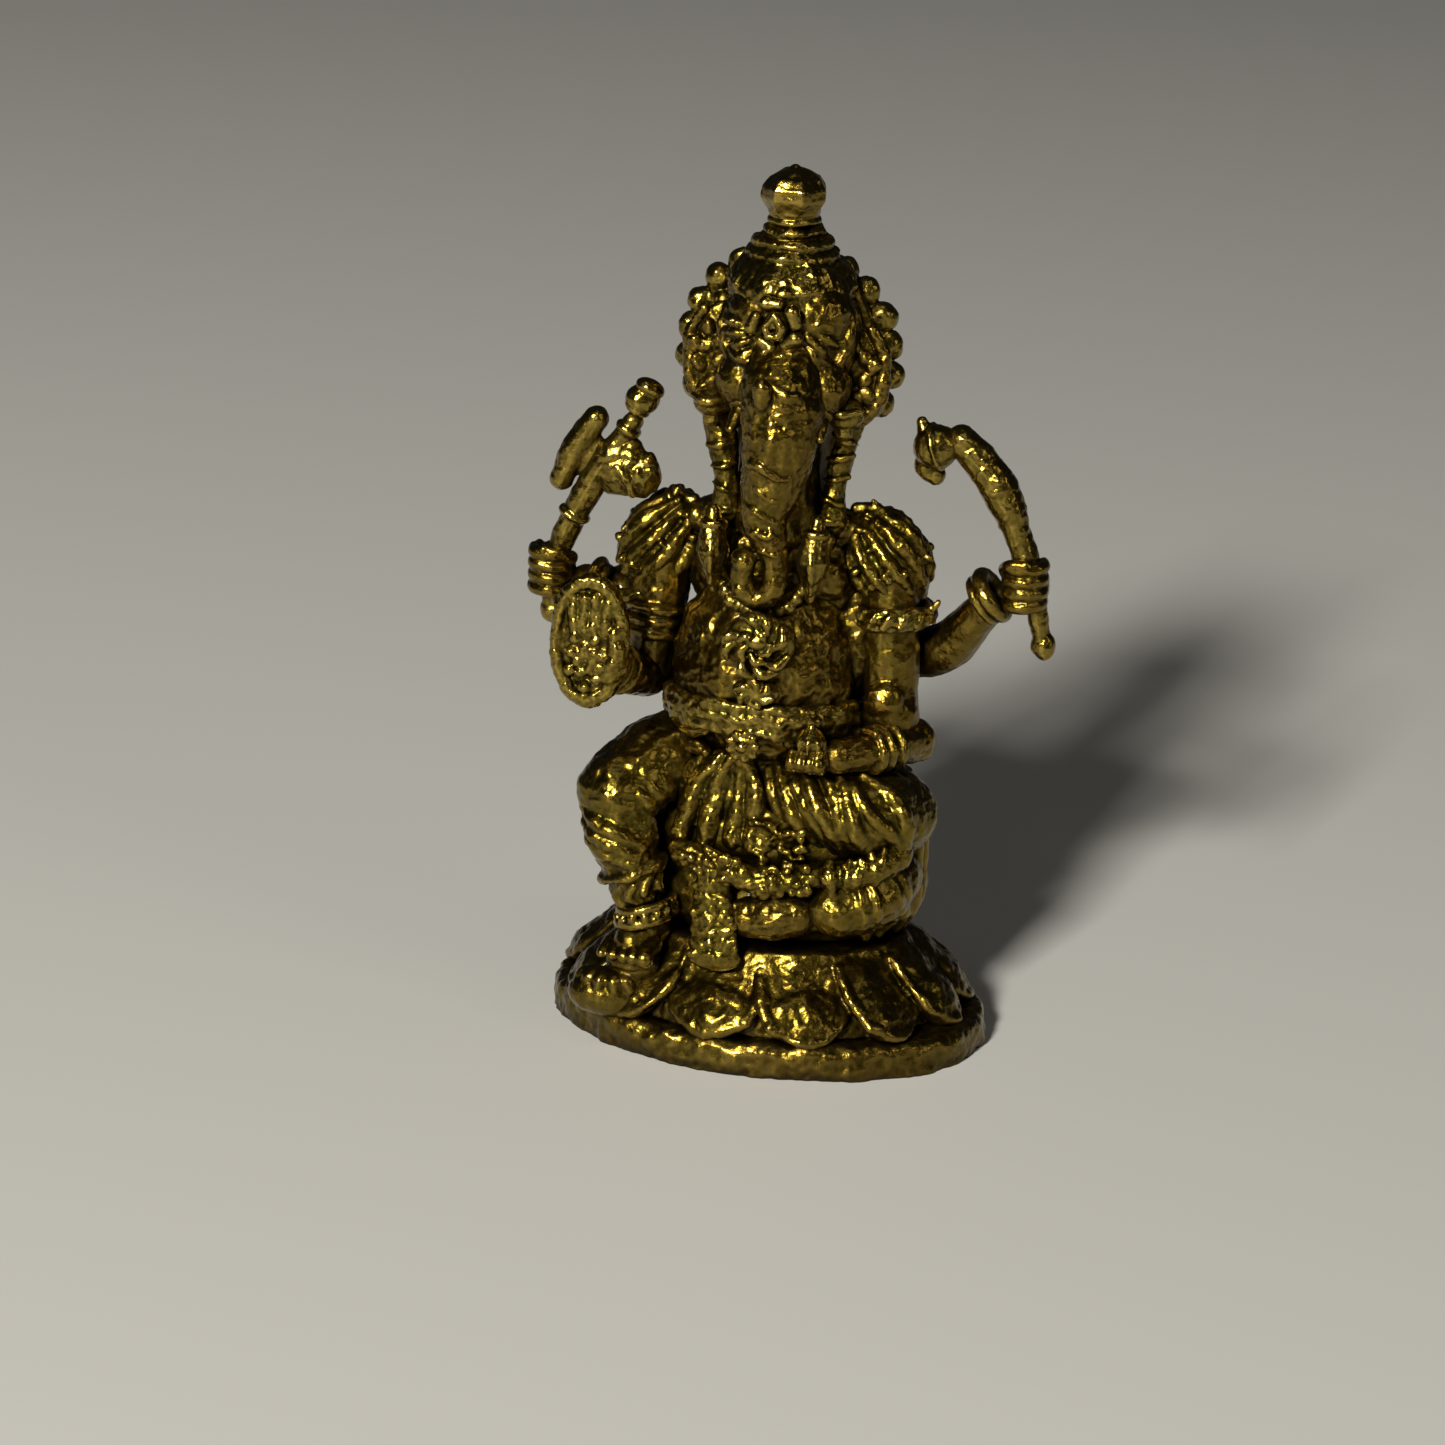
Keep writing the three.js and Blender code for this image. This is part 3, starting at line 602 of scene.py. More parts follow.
def spaced_round(centre, axis, radius, count):
    """Evenly spaced spots on a circle round an axis."""
    turn = UP.rotation_difference(axis.normalized())
    angles = [tau * i / count for i in range(count)]
    return [centre + turn @ Vector((cos(a) * radius, sin(a) * radius, 0)) for a in angles]


def hoop(centre, axis, radius, wire, knots=12):
    """A closed ring of rolled wax round an axis."""
    return roll(spaced_round(centre, axis, radius, knots), [wire] * knots, closed=True)


def beads(centre, axis, radius, size, count):
    """A ring of beads round an axis."""
    return [
        lump for spot in spaced_round(centre, axis, radius, count) for lump in pellet(spot, (size,) * 3)
    ]


ankle = near("right_anklet")
leg = Vector((-0.3, 0.05, 1))
parts = hoop(at(ankle, 0, 0, 0.2), leg, 1.08, 0.2)
parts += hoop(ankle - Vector((0, 0, 0.35)), leg, 1.12, 0.24)
parts += beads(ankle - Vector((0, 0, 0.08)), leg, 1.18, 0.2, 14)
cast("right_anklet", parts, ornament_brass, grain=0.05, soften=2, lumps=0.05)

# ----------------------------------------
# The bare right foot, with five rounded toes that curl over the edge of its pad. Its brass is that of all
# bare skin on the figure.

body_brass = aged_brass("body_brass", (0.225, 0.148, 0.022, 1), (0.072, 0.042, 0.0035, 1), 0.21)

foot_line = shifted(near("right_foot"), (0.22, 1.04, 0.54), (0.02, 0.49, 0.14), (-0.18, 0.14, -0.01))
parts = roll(foot_line, [0.98, 0.92, 0.78])
parts += pellet(near("right_foot", 0.17, 1.34, -0.01), (0.85, 0.8, 0.7))
parts += pellet(near("right_foot", -0.23, 0.24, -0.76), (1.05, 0.9, 0.5))
for i, size in enumerate((0.4, 0.34, 0.3, 0.26, 0.22)):
    toe = near("right_foot", 0.57, -0.81, -0.26) + Vector((-0.46, 0.08, -0.03)) * i
    parts += roll(shifted(toe, (0.1, 0.85, 0.3), (0, 0.3, 0.16), (0, 0, 0)), [size, size * 0.9, size])
cast("right_foot", parts, body_brass, grain=0.055, soften=3, lumps=0.1, pits=0.04)

# ----------------------------------------
# The left leg is folded flat on the seat: a broad thigh with fanned folds, the pleated hem of the
# dhoti under the knee, and the shin drawn in across the front.

THIGH_FOLDS = 8
HEM_STIPPLES = 34

thigh = shifted(
    near("left_thigh"), (-3.22, -0.77, 0.28), (-1.02, -1.27, -0.02), (0.88, -1.17, -0.32),
    (1.68, -0.37, -0.52),
)
girth = [1.5, 1.85, 1.95, 1.7]
parts = roll(thigh, girth) + pellet(near("left_thigh", -0.22, 0.93, -0.22), (2.6, 1.9, 2.0))
for i in range(THIGH_FOLDS):
    start = -0.1 + i * 0.095
    places = [(max(start, 0), -70), (start + 0.14, -32), (start + 0.28, 12), (min(start + 0.4, 1), 50)]
    parts += fold(thigh, girth, places, 0.36 if i % 2 else 0.3, 1.0)
cast("left_thigh", parts, cloth_brass, grain=0.075, soften=2, lumps=0.25, pits=0.1)

hem_line = shifted(near("left_hem"), (1.28, 0.86, 0.47), (0.28, -0.04, -0.03), (-1.12, -0.34, -0.33))
parts = roll(hem_line, [0.6, 0.62, 0.5])
for i, share in enumerate((0.04, 0.22, 0.36, 0.6, 0.72, 0.95)):
    spot = part_way(hem_line, share)
    lean = 0.12 * sin(i * 2.3)
    pleat = shifted(spot, (lean, -0.25, 0.6), (0, -0.5, 0), (-lean, -0.4, -0.6))
    parts += roll(pleat, [0.17, 0.3, 0.2])
for i in range(HEM_STIPPLES):
    spot = part_way(hem_line, chance.random())
    swing = chance.uniform(-1.3, 1.3)
    spot += Vector((-0.1, -0.62 * cos(swing), 0.6 * sin(swing)))
    parts += pellet(spot, (chance.uniform(0.12, 0.26), 0.16, 0.14))
cast("left_hem", parts, cloth_brass, grain=0.06, soften=3, lumps=0.3, pits=0.12)

shin = shifted(near("left_shin"), (1.27, 1.08, 0.19), (0.77, -0.02, -0.21), (-0.33, -0.87, -0.56))
girth = [1.35, 1.4, 1.15]
parts = roll(shin, girth)
for i in range(4):
    start = 0.1 + i * 0.2
    parts += fold(
        shin, girth, [(start, 80), (start + 0.06, 30), (start + 0.1, -25), (start + 0.16, -75)], 0.2
    )
cast("left_shin", parts, cloth_brass, soften=4, lumps=0.35, pits=0.08)

foot_line = shifted(near("left_foot"), (0.94, 0.46, 0.08), (0.09, 0.26, -0.07), (-0.71, 0.21, -0.22))
parts = roll(foot_line, [0.98, 1.02, 0.85])
for i in range(5):
    toe = near("left_foot", -1.36, 0.11, -0.22) + Vector((0.07 * i, -0.12 + 0.05 * i, 0.5 - 0.27 * i))
    parts += roll(shifted(toe, (0.5, 0, 0.05), (0, 0, 0)), [0.24, 0.22])
cast("left_foot", parts, body_brass, grain=0.06, soften=3, lumps=0.24, pits=0.1)

# ----------------------------------------
# The body: a full round belly with two soft creases at the waist, a broad chest that carries the
# shoulders, and a short neck with locks of hair down its back.

NECK_LOCKS = 9

belly = near("belly")
parts = pellet(belly, (3.78, 3.35, 4.45))
for side in (-1, 1):
    for height in (-2.1, -3.0):
        crease = [
            at(belly, side * x, y, height)
            for x, y in ((1.7, -2.6), (2.9, -1.7), (3.35, -0.2), (3.1, 1.4))
        ]
        parts += roll(crease, [0.25, 0.42, 0.45, 0.3])
parts += pellet(at(belly, 0, 0.4, -3.9), (3.6, 2.9, 1.6))
parts += pellet(at(belly, 3.5, 0.6, 1.0), (0.9, 1.2, 2.6))
cast("belly", parts, body_brass, grain=0.08, soften=3, lumps=0.45, pits=0.16)

chest = near("chest")
parts = pellet(at(chest, 0, 0, -0.65), (3.75, 2.35, 3.0))
for side in (-1, 1):
    parts += pellet(at(chest, side * 1.55, -1.35, -0.5), (1.5, 0.95, 1.15))
    parts += roll(
        shifted(chest, (side * 3.2, -0.2, 1.1), (side * 1.8, -0.7, 1.75), (side * 0.7, -0.7, 2.4)),
        [0.8, 0.7, 0.75],
    )
cast("chest", parts, body_brass, grain=0.08, soften=3, lumps=0.4, pits=0.18)

neck = near("neck")
parts = roll(shifted(neck, (0, 0.1, -2.8), (0, 0.1, 0), (0.2, 0, 2.6)), [2.1, 1.75, 1.85])
for i in range(NECK_LOCKS):
    bearing = radians(14 + 19 * i)
    sway = 0.1 * sin(i * 2.3)
    strand = [
        at(neck, cos(bearing + sway) * out, 0.1 + sin(bearing + sway) * out, high)
        for out, high in ((1.85, 2.5), (1.8, 0.9), (1.85, -0.8), (2.05, -2.6))
    ]
    parts += roll(strand, [0.3, 0.36, 0.34, 0.22])
cast("neck", parts, body_brass, grain=0.1, soften=3, lumps=0.2)

# ----------------------------------------
# The belt: two rolled cords with a row of beads between them, closed by a round clasp, and the sash
# that falls from the clasp between the knees in pressed pleats and ends in a stippled swag.

BELT_BEADS = 22
SWAG_STIPPLES = 60
LAP_STIPPLES = 36

belt = near("belt")
girdle = reach("belt")
wide, deep = girdle.x - 0.42, girdle.y - 0.42
angles = [tau * i / BELT_BEADS for i in range(BELT_BEADS)]
loop = [Vector((cos(a) * wide, sin(a) * deep, -0.12 * sin(a) * girdle.y)) for a in angles]
parts = []
for draw_in, high, thick in ((0.985, 0.42, 0.26), (0.97, -0.45, 0.36), (0.975, 0, 0.4)):
    cord = [belt + spot * draw_in + Vector((0, 0, high)) for spot in loop]
    parts += roll(cord, [thick] * BELT_BEADS, closed=True)
for spot in loop:
    parts += pellet(belt + spot, (0.34, 0.3, 0.28))
cast("belt", parts, ornament_brass, grain=0.07, soften=6, lumps=0.45, pits=0.16)

clasp = near("belt_clasp")
parts = pellet(clasp, (0.62, 0.4, 0.6)) + pellet(at(clasp, 0, -0.32, 0), (0.24, 0.22, 0.24))
parts += beads(at(clasp, 0, -0.12, 0), FRONT, 0.52, 0.2, 9)
cast("belt_clasp", parts, ornament_brass, grain=0.05, soften=2, lumps=0.04)

parts = pellet(near("front_sash", -0.5, 1.18, 0.1), (2.0, 0.6, 1.9))
parts += pellet(near("front_sash", 1.7, 0.88, -1.1), (1.6, 0.8, 1.05))
for i, (across, low) in enumerate(((-3.0, 9.1), (-2.0, 8.7), (-0.9, 9.0), (-0.1, 8.7))):
    pleat = [
        near("front_sash", 0.5, 0.78, 1.9) + Vector((across * 0.35, 0, -0.1 * (i % 2))),
        near("front_sash", 1, 0.78, 0.4) + Vector((across * 0.85, 0, 0)),
        near("front_sash", 1, 0.43, -10.5) + Vector((across, 0, low)),
    ]
    wide = 0.4 + 0.12 * sin(i * 2.3)
    parts += roll(pleat, [0.24, wide, 0.46])
swag = shifted(
    near("front_sash"), (-1.9, -0.02, -1.9), (-0.2, -0.37, -2.4), (1.7, -0.37, -2.75), (3.6, -0.02, -2.5)
)
parts += roll(swag, [0.4, 0.5, 0.56, 0.4])
for i in range(SWAG_STIPPLES):
    share = chance.random() * 2.99
    spot = swag[int(share)].lerp(swag[int(share) + 1], share % 1)
    swing = chance.uniform(-1.6, 1.6)
    size = chance.uniform(0.12, 0.24)
    spot += Vector((0, -0.2 - 0.3 * cos(swing), 0.55 * sin(swing)))
    parts += pellet(spot, (size, 0.17, size))
lap = near("front_sash", 0.9, -0.02, -2.2)
for i in range(LAP_STIPPLES):
    spot = at(lap, chance.uniform(0, 2.2), chance.uniform(0.1, 0.3), chance.uniform(0, 1.7))
    parts += pellet(spot, (0.24, 0.2, 0.15), (0, chance.uniform(-60, 60), 0))
cast("front_sash", parts, cloth_brass, grain=0.06, soften=3, lumps=0.35, pits=0.14)

# ----------------------------------------
# The jewels on the breast: a heavy bead necklace, a flower medallion with a second flower under it,
# and a long leaf-shaped tassel on either side of the trunk.

SIDES = ((-1, "right"), (1, "left"))

spots = shifted(
    near("necklace"), (-2.3, 0.81, 1.17), (-1.95, 0.06, -0.03), (-1.1, -0.44, -1.03),
    (0.05, -0.69, -1.38), (1.2, -0.44, -1.03), (2, 0.06, -0.03), (2.35, 0.81, 1.17),
)
parts = roll(spots, [0.3] * len(spots))
for first, second in zip(spots, spots[1:]):
    for share in (0, 0.33, 0.67):
        parts += pellet(first.lerp(second, share) + Vector((0, -0.25, -0.2)), (0.3, 0.28, 0.3))
cast("necklace", parts, ornament_brass, grain=0.06, soften=2, lumps=0.06)


def curled_petals(centre, angles, curl, radii, flatten=1.0):
    """Petals that all curl one way: curl holds the (turn, distance out, depth) of spots on one petal."""
    lumps = []
    for angle in angles:
        spots = [
            at(centre, cos(angle + turn) * out, depth, sin(angle + turn) * out * flatten)
            for turn, out, depth in curl
        ]
        lumps += roll(spots, radii)
    return lumps


flower = near("medallion", 0.1, -0.12, 0.4)
second = at(flower, 0.0, 0.2, -1.95)
parts = pellet(at(flower, 0, 0.35, 0), (1.45, 0.6, 1.3), (12, 0, 0))
parts += pellet(at(flower, 0.1, -0.28, 0.25), (0.42, 0.3, 0.34))
angles = [tau * i / 8 + 0.2 * sin(i * 2.6) for i in range(8)]
parts += curled_petals(
    flower, angles, ((0, 0.78, -0.2), (0.28, 1.12, -0.26), (0.66, 1.3, -0.08)), [0.14, 0.24, 0.15]
)
angles = [tau * i / 5 + 0.5 for i in range(5)]
parts += curled_petals(
    flower, angles, ((0, 0.32, -0.3), (0.5, 0.56, -0.3), (1.0, 0.66, -0.3)), [0.12, 0.2, 0.13]
)
parts += pellet(second, (0.95, 0.45, 0.6))
angles = [tau * i / 6 for i in range(6)]
curl = ((0, 0.2, -0.34), (0.4, 0.55, -0.34), (0.8, 0.75, -0.34))
parts += curled_petals(second, angles, curl, [0.12, 0.19, 0.12], 0.7)
for i in range(4):
    parts += pellet(at(second, -0.25 + 0.04 * i, 0.1, -0.75 - 0.42 * i), (0.24, 0.3, 0.2))
cast("medallion", parts, ornament_brass, grain=0.05, soften=2, lumps=0.12, pits=0.05)

for side, name in SIDES:
    tassel = near(name + "_tassel")
    parts = roll(
        shifted(tassel, (side * 0.1, 0.1, 1.6), (0, -0.15, 0.1), (side * -0.05, 0, -1.5)),
        [0.3, 0.66, 0.22],
    )
    parts += roll(shifted(tassel, (0, -0.3, 1.0), (0.05, -0.68, 0), (0, -0.3, -1.2)), [0.12, 0.2, 0.12])
    parts += hoop(at(tassel, side * 0.05, 0.05, 1.15), Vector((0, 0.1, 1)), 0.36, 0.18)
    cast(name + "_tassel", parts, ornament_brass, grain=0.05, soften=3, lumps=0.16, pits=0.06)

# ----------------------------------------
# The elephant head: a domed brow with two low bosses, small lidded eyes, full cheeks, and a fillet
# of leaves round the jewel on the forehead.

BROW_LEAVES = 19
BROW_BEADS = 12
BACK_LOCKS = 11

head = near("head")
parts = pellet(at(head, 0, 0, -0.1), (2.78, 2.6, 2.88))
for side in (-1, 1):
    parts += pellet(at(head, side * 1.0, -0.75, 0.9), (1.5, 1.6, 1.6))
    parts += pellet(at(head, side * 1.55, -1.45, -1.6), (1.1, 1.1, 1.25))
    eye = at(head, side * 1.42, -2.12, -0.75)
    parts += pellet(eye, (0.34, 0.26, 0.22), (0, 0, side * 25))
    brow = shifted(eye, (side * -0.45, -0.12, 0.12), (0, -0.1, 0.36), (side * 0.5, 0.2, 0.1))
    parts += roll(brow, [0.1, 0.15, 0.1])
    lid = shifted(eye, (side * -0.4, -0.08, -0.12), (0, -0.08, -0.28), (side * 0.45, 0.2, -0.1))
    parts += roll(lid, [0.08, 0.12, 0.08])
toward_jewel = Vector((-0.04, -0.94, 0.34))
across_brow = Vector((1, 0, 0))
up_brow = across_brow.cross(toward_jewel)


def on_dome(polar, around, lift=1.0):
    """A spot on the brow: its angle away from the jewel, and its bearing round it, in degrees."""
    away, bearing = radians(polar), radians(around)
    spoke = across_brow * cos(bearing) + up_brow * sin(bearing)
    ray = toward_jewel * cos(away) + spoke * sin(away)
    return head + Vector((ray.x * 2.78, ray.y * 2.6, ray.z * 2.85)) * lift


band = [on_dome(62, bearing) for bearing in range(-25, 211, 20)]
parts += roll(band, [0.28] * len(band))
for i in range(BROW_LEAVES):
    bearing = -35 + 250 * i / (BROW_LEAVES - 1)
    wander = 4 * sin(i * 2.7)
    parts += roll(
        [
            on_dome(30 + wander, bearing), on_dome(40, bearing + 5, 1.03),
            on_dome(53 + wander, bearing + 9),
        ],
        [0.13, 0.22, 0.12],
    )
for i in range(BROW_BEADS):
    bearing = -35 + 250 * i / (BROW_BEADS - 1)
    parts += pellet(on_dome(56, bearing, 1.01), (0.17, 0.17, 0.17))
for i in range(BACK_LOCKS):
    bearing = radians(20 + 14 * i)
    lock = [
        at(head, cos(bearing) * out, sin(bearing) * out * 0.9, high)
        for out, high in ((1.7, 2.2), (2.5, 1.1), (2.7, -0.3), (2.3, -1.9))
    ]
    parts += roll(lock, [0.22, 0.32, 0.34, 0.26])
parts += roll([on_dome(25, 90, 1.02), on_dome(42, 92, 1.05), on_dome(60, 95, 1.03)], [0.2, 0.26, 0.22])
parts += roll([on_dome(38, 124, 1.06), on_dome(44, 138, 1.06), on_dome(50, 150, 1.04)], [0.2, 0.26, 0.2])
parts += pellet(on_dome(44, 117, 1.07), (0.26, 0.22, 0.2))
parts += pellet(on_dome(42, 104, 1.07), (0.26, 0.22, 0.2))
cast("head", parts, body_brass, grain=0.065, soften=2, lumps=0.3, pits=0.12)

# ----------------------------------------
# The jewel on the forehead: a pointed setting with a stone in it, fat leaves round it, and four loose
# beads on the brow below.

jewel = near("forehead_jewel", 0, -0.12, 0)
rim = [(0, -0.34, 0.44), (0.3, -0.4, 0.02), (0.16, -0.46, -0.3), (-0.16, -0.46, -0.3), (-0.3, -0.4, 0.02)]
parts = pellet(jewel, (0.5, 0.26, 0.62), (-12, 0, 0))
for corner, following in zip(rim, rim[1:] + rim[:1]):
    parts += roll([jewel + Vector(corner) * 1.08, jewel + Vector(following) * 1.08], [0.15, 0.15])
parts += pellet(at(jewel, 0, -0.36, 0.03), (0.12, 0.12, 0.12))
for i in range(5):
    angle = tau * i / 5 + 0.2
    spoke = Vector((cos(angle), 0.25 * sin(angle) ** 2, sin(angle)))
    leaf = Vector((cos(angle + 0.55), 0.25 * sin(angle) ** 2, sin(angle + 0.55)))
    parts += roll(
        [jewel + spoke * 0.82 + Vector((0, -0.2, 0)), jewel + leaf * 0.9 + Vector((0, -0.2, 0))],
        [0.23, 0.3],
    )
for x, z, size in ((-0.5, -1.5, 0.2), (-0.2, -1.52, 0.2), (-0.36, -1.05, 0.18), (0.35, -1.15, 0.2)):
    parts += pellet(at(jewel, x, -0.22, z), (size,) * 3)
cast("forehead_jewel", parts, ornament_brass, grain=0.045, soften=2, lumps=0.1, pits=0.05)

# ----------------------------------------
# The trunk: a tapering roll, notched across into wrinkles, that hangs down the breast and curls at
# its tip towards the right hand. Two short tusks stand beside its root.

TRUNK_WRINKLES = 8

line = shifted(
    near("trunk"), (-0.11, 1.46, 4.46), (0.04, 0.46, 3.26), (0.14, 0.06, 2.06), (0.09, -0.14, 0.76),
    (-0.11, -0.29, -0.54), (-0.26, -0.44, -1.64), (0.04, -0.54, -2.64), (0.34, -0.64, -3.69),
    (0.14, -0.74, -4.54), (-0.51, -0.84, -4.74), (-0.96, -0.84, -4.04), (-0.86, -0.84, -3.24),
)
girth = [1.6, 1.65, 1.62, 1.42, 1.15, 0.88, 0.62, 0.48, 0.42, 0.4, 0.42, 0.46]
parts = roll(line, girth)
parts += pellet(at(line[-1], -0.02, -0.1, 0.05), (0.55, 0.5, 0.5))
for i in range(TRUNK_WRINKLES):
    along = 0.1 + 0.46 * i / (TRUNK_WRINKLES - 1)
    tilt = sin(i * 1.7) * 0.02
    half = 50 + 25 * sin(i * 2.9)
    places = [(along + tilt, -half), (along + 0.012, -20), (along - 0.012, 25), (along - tilt, half)]
    parts += fold(line, girth, places, 0.13 if i % 3 else 0.2, 0.93)
parts += pellet(near("trunk", -0.31, -1.34, 3.46), (0.34, 0.3, 0.75), (12, 0, 0))
cast("trunk", parts, body_brass, grain=0.055, soften=4, lumps=0.34, pits=0.1)

for side, name in SIDES:
    tusk = near(name + "_tusk")
    parts = roll(
        shifted(tusk, (side * -0.2, 0.5, 0.5), (side * 0.05, -0.1, -0.2), (side * 0.15, -0.55, -0.5)),
        [0.42, 0.34, 0.18],
    )
    parts += hoop(at(tusk, side * -0.05, 0.15, 0.15), Vector((side * 0.3, -0.8, -0.7)), 0.38, 0.12)
    cast(name + "_tusk", parts, body_brass, grain=0.045, soften=2, lumps=0.04)

# ----------------------------------------
# Ears, earrings and lappets: broad ears with a rolled edge and veins, a ball earring under each, and
# two plaited locks that fall from behind it to the shoulder.

EAR_LUMPS = 11
PLAIT_TURNS = 6

for side, name in SIDES:
    ear = near(name + "_ear")
    half = reach(name + "_ear")
    edge = (
        (0.45, -0.1, 1.9), (0.95, 0, 0.9), (0.95, -0.1, -0.3), (0.55, -0.25, -1.5), (-0.15, -0.35, -2.0)
    )
    parts = pellet(at(ear, 0, 0.05, 0), (half.x * 0.98, 0.5, half.z), (0, side * -8, 0))
    parts += roll([at(ear, side * x, y, z) for x, y, z in edge], [0.2, 0.26, 0.28, 0.26, 0.2])
    for i in range(EAR_LUMPS):
        swing, depth = i * 2.4, 0.35 + 0.055 * i
        spot = at(ear, cos(swing) * 0.85 * depth, -0.4, sin(swing) * 1.9 * depth)
        parts += pellet(spot, (0.3, 0.22, 0.36), (0, 35 * sin(i), 0))
    cast(name + "_ear", parts, body_brass, grain=0.055, soften=2, lumps=0.35, pits=0.14)

    ring = near(name + "_earring", -0.3 * side, 0, 0.2)
    parts = pellet(at(ring, 0, 0, 0.1), (0.78, 0.66, 0.62))
    parts += pellet(at(ring, 0, -0.1, -0.55), (0.36, 0.34, 0.34))
    parts += roll(
        shifted(ring, (-0.65, -0.3, 0.35), (0, -0.66, 0.25), (0.65, -0.3, 0.35)), [0.16, 0.2, 0.16]
    )
    cast(name + "_earring", parts, ornament_brass, grain=0.05, soften=3, lumps=0.14)

    lock = near(name + "_lappet", -0.12 - 0.12 * side, 0, 0)
    fall = ((0.45, 0.1, 2.1), (0.15, 0.0, 1.0), (-0.12, -0.1, -0.4), (-0.2, -0.25, -1.9))
    strap = [at(lock, side * x, y, z) for x, y, z in fall]
    parts = roll(strap, [0.56 - 0.06 * side, 0.52 - 0.08 * side, 0.5 - 0.06 * side, 0.6])
    for i in range(PLAIT_TURNS):
        spot = part_way(strap, i / (PLAIT_TURNS - 1))
        lean = 0.18 * sin(i * 1.9)
        parts += roll(
            shifted(spot, (-0.5, -0.3, lean), (0, -0.6, 0), (0.5, -0.3, -lean)), [0.09, 0.12, 0.09]
        )
    cast(name + "_lappet", parts, cloth_brass, grain=0.055, soften=4, lumps=0.3, pits=0.12)

# ----------------------------------------
# The crown: a cap with low leaves lying round it and three stepped rings above them, and a faceted
# lotus bud on a ringed neck for its finial.

CROWN_LEAVES = 13
BUD_FACETS = 7

crown = near("crown")
profile = [(1.2, -1.6), (2.5, -1.5), (2.45, -0.9), (2.15, -0.3), (1.75, 0.15), (1.6, 0.3)]
profile += [(1.5, 0.7), (1.1, 0.8), (0.95, 0.95), (0.92, 1.25), (0.4, 1.3)]
parts = turned(crown, profile)
for radius, high in ((1.66, 0.2), (1.42, 0.62), (0.95, 1.0)):
    parts += hoop(crown + UP * high, UP, radius, 0.2)
for i in range(CROWN_LEAVES):
    angle = tau * i / CROWN_LEAVES
    spoke = Vector((cos(angle), sin(angle), 0))
    leaf = [crown + spoke * out + UP * high for out, high in ((2.26, -1.0), (2.02, -0.45), (1.64, 0.05))]
    parts += roll(leaf, [0.24, 0.27, 0.18] if i % 2 else [0.3, 0.2, 0.12])
cast("crown", parts, ornament_brass, grain=0.06, soften=7, lumps=0.45, pits=0.16)

bud = near("finial")
profile = [(0.85, -1.1), (0.95, -0.9), (0.82, -0.7), (1.12, -0.5), (1.32, -0.1)]
profile += [(1.3, 0.32), (1.05, 0.7), (0.6, 0.94), (0.2, 1.02)]
parts = turned(bud, profile, sides=BUD_FACETS)
parts += hoop(bud + UP * -0.95, UP, 0.86, 0.16)
parts += hoop(bud + UP * -0.6, UP, 0.82, 0.2)
parts += pellet(at(bud, -0.05, 0, 0.95), (0.22, 0.2, 0.2))
cast("finial", parts, ornament_brass, grain=0.05, soften=4, lumps=0.2, pits=0.04)

# ----------------------------------------
# The halo: a flat collar of wax round the back of the head, with a row of round beads down each side
# and a row of leaves inside them.

BEADS_PER_SIDE = 6
HALO_RADIUS = 4.05
FIRST_BEAD, LAST_BEAD = radians(30), radians(113)
COLLAR_START, COLLAR_END = FIRST_BEAD * 0.5, LAST_BEAD * 1.12
COLLAR_KNOTS = 9

halo = near("halo", 0, 0, -0.21)
parts = []
for side in (-1, 1):
    arc = [
        COLLAR_START + (COLLAR_END - COLLAR_START) * i / (COLLAR_KNOTS - 1) for i in range(COLLAR_KNOTS)
    ]
    for radius, depth, size in ((2.9, 0.1, 0.5), (3.35, 0.05, 0.42), (3.7, 0, 0.36)):
        band = [at(halo, side * sin(a) * radius, depth, cos(a) * radius) for a in arc]
        parts += roll(band, [size] * COLLAR_KNOTS)
    for i in range(BEADS_PER_SIDE):
        angle = FIRST_BEAD + (LAST_BEAD - FIRST_BEAD) * i / (BEADS_PER_SIDE - 1)
        spoke = Vector((side * sin(angle), 0, cos(angle)))
        parts += pellet(halo + spoke * HALO_RADIUS, (0.58, 0.54, 0.58))
        leaf = Vector((side * sin(angle + 0.12), 0, cos(angle + 0.12)))
        parts += pellet(halo + leaf * 3.35 + Vector((0, -0.45, 0)), (0.36, 0.3, 0.36))
        parts += roll(
            [halo + spoke * 2.6 + Vector((0, -0.4, 0)), halo + spoke * 3.1 + Vector((0, -0.4, 0))],
            [0.3, 0.2],
        )
cast("halo", parts, ornament_brass, grain=0.06, soften=2, lumps=0.25, pits=0.1)

# ----------------------------------------
# The front arms: the right one bends up to a blessing hand, the left one lies along the thigh. Each
# has the bands and bangles of rolled wax that dress it.

line = shifted(
    near("right_front_upper_arm"), (0.17, 0.34, 2.24), (0.02, -0.11, -0.16), (-0.13, -0.46, -2.46)
)
girth = [1.2, 1.12, 1.05]
parts = roll(line, girth)
for along in (0.45, 0.56, 0.66):
    parts += hoop(on_skin(line, girth, along, 0, 0.0), line[1] - line[0], 1.1, 0.2)
cast("right_front_upper_arm", parts, body_brass, grain=0.07, lumps=0.3, pits=0.08)

line = shifted(
    near("right_front_forearm"), (0.36, 1.34, -0.36), (-0.09, 0.04, 0.04), (-0.44, -0.86, 0.54)
)
parts = roll(line, [0.98, 0.85, 0.78])
parts += hoop(line[1] + (line[2] - line[1]) * 0.35, line[2] - line[1], 0.82, 0.2)
parts += hoop(line[1] + (line[2] - line[1]) * 0.8, line[2] - line[1], 0.8, 0.17)
cast("right_front_forearm", parts, body_brass, grain=0.06, soften=3, lumps=0.25, pits=0.08)

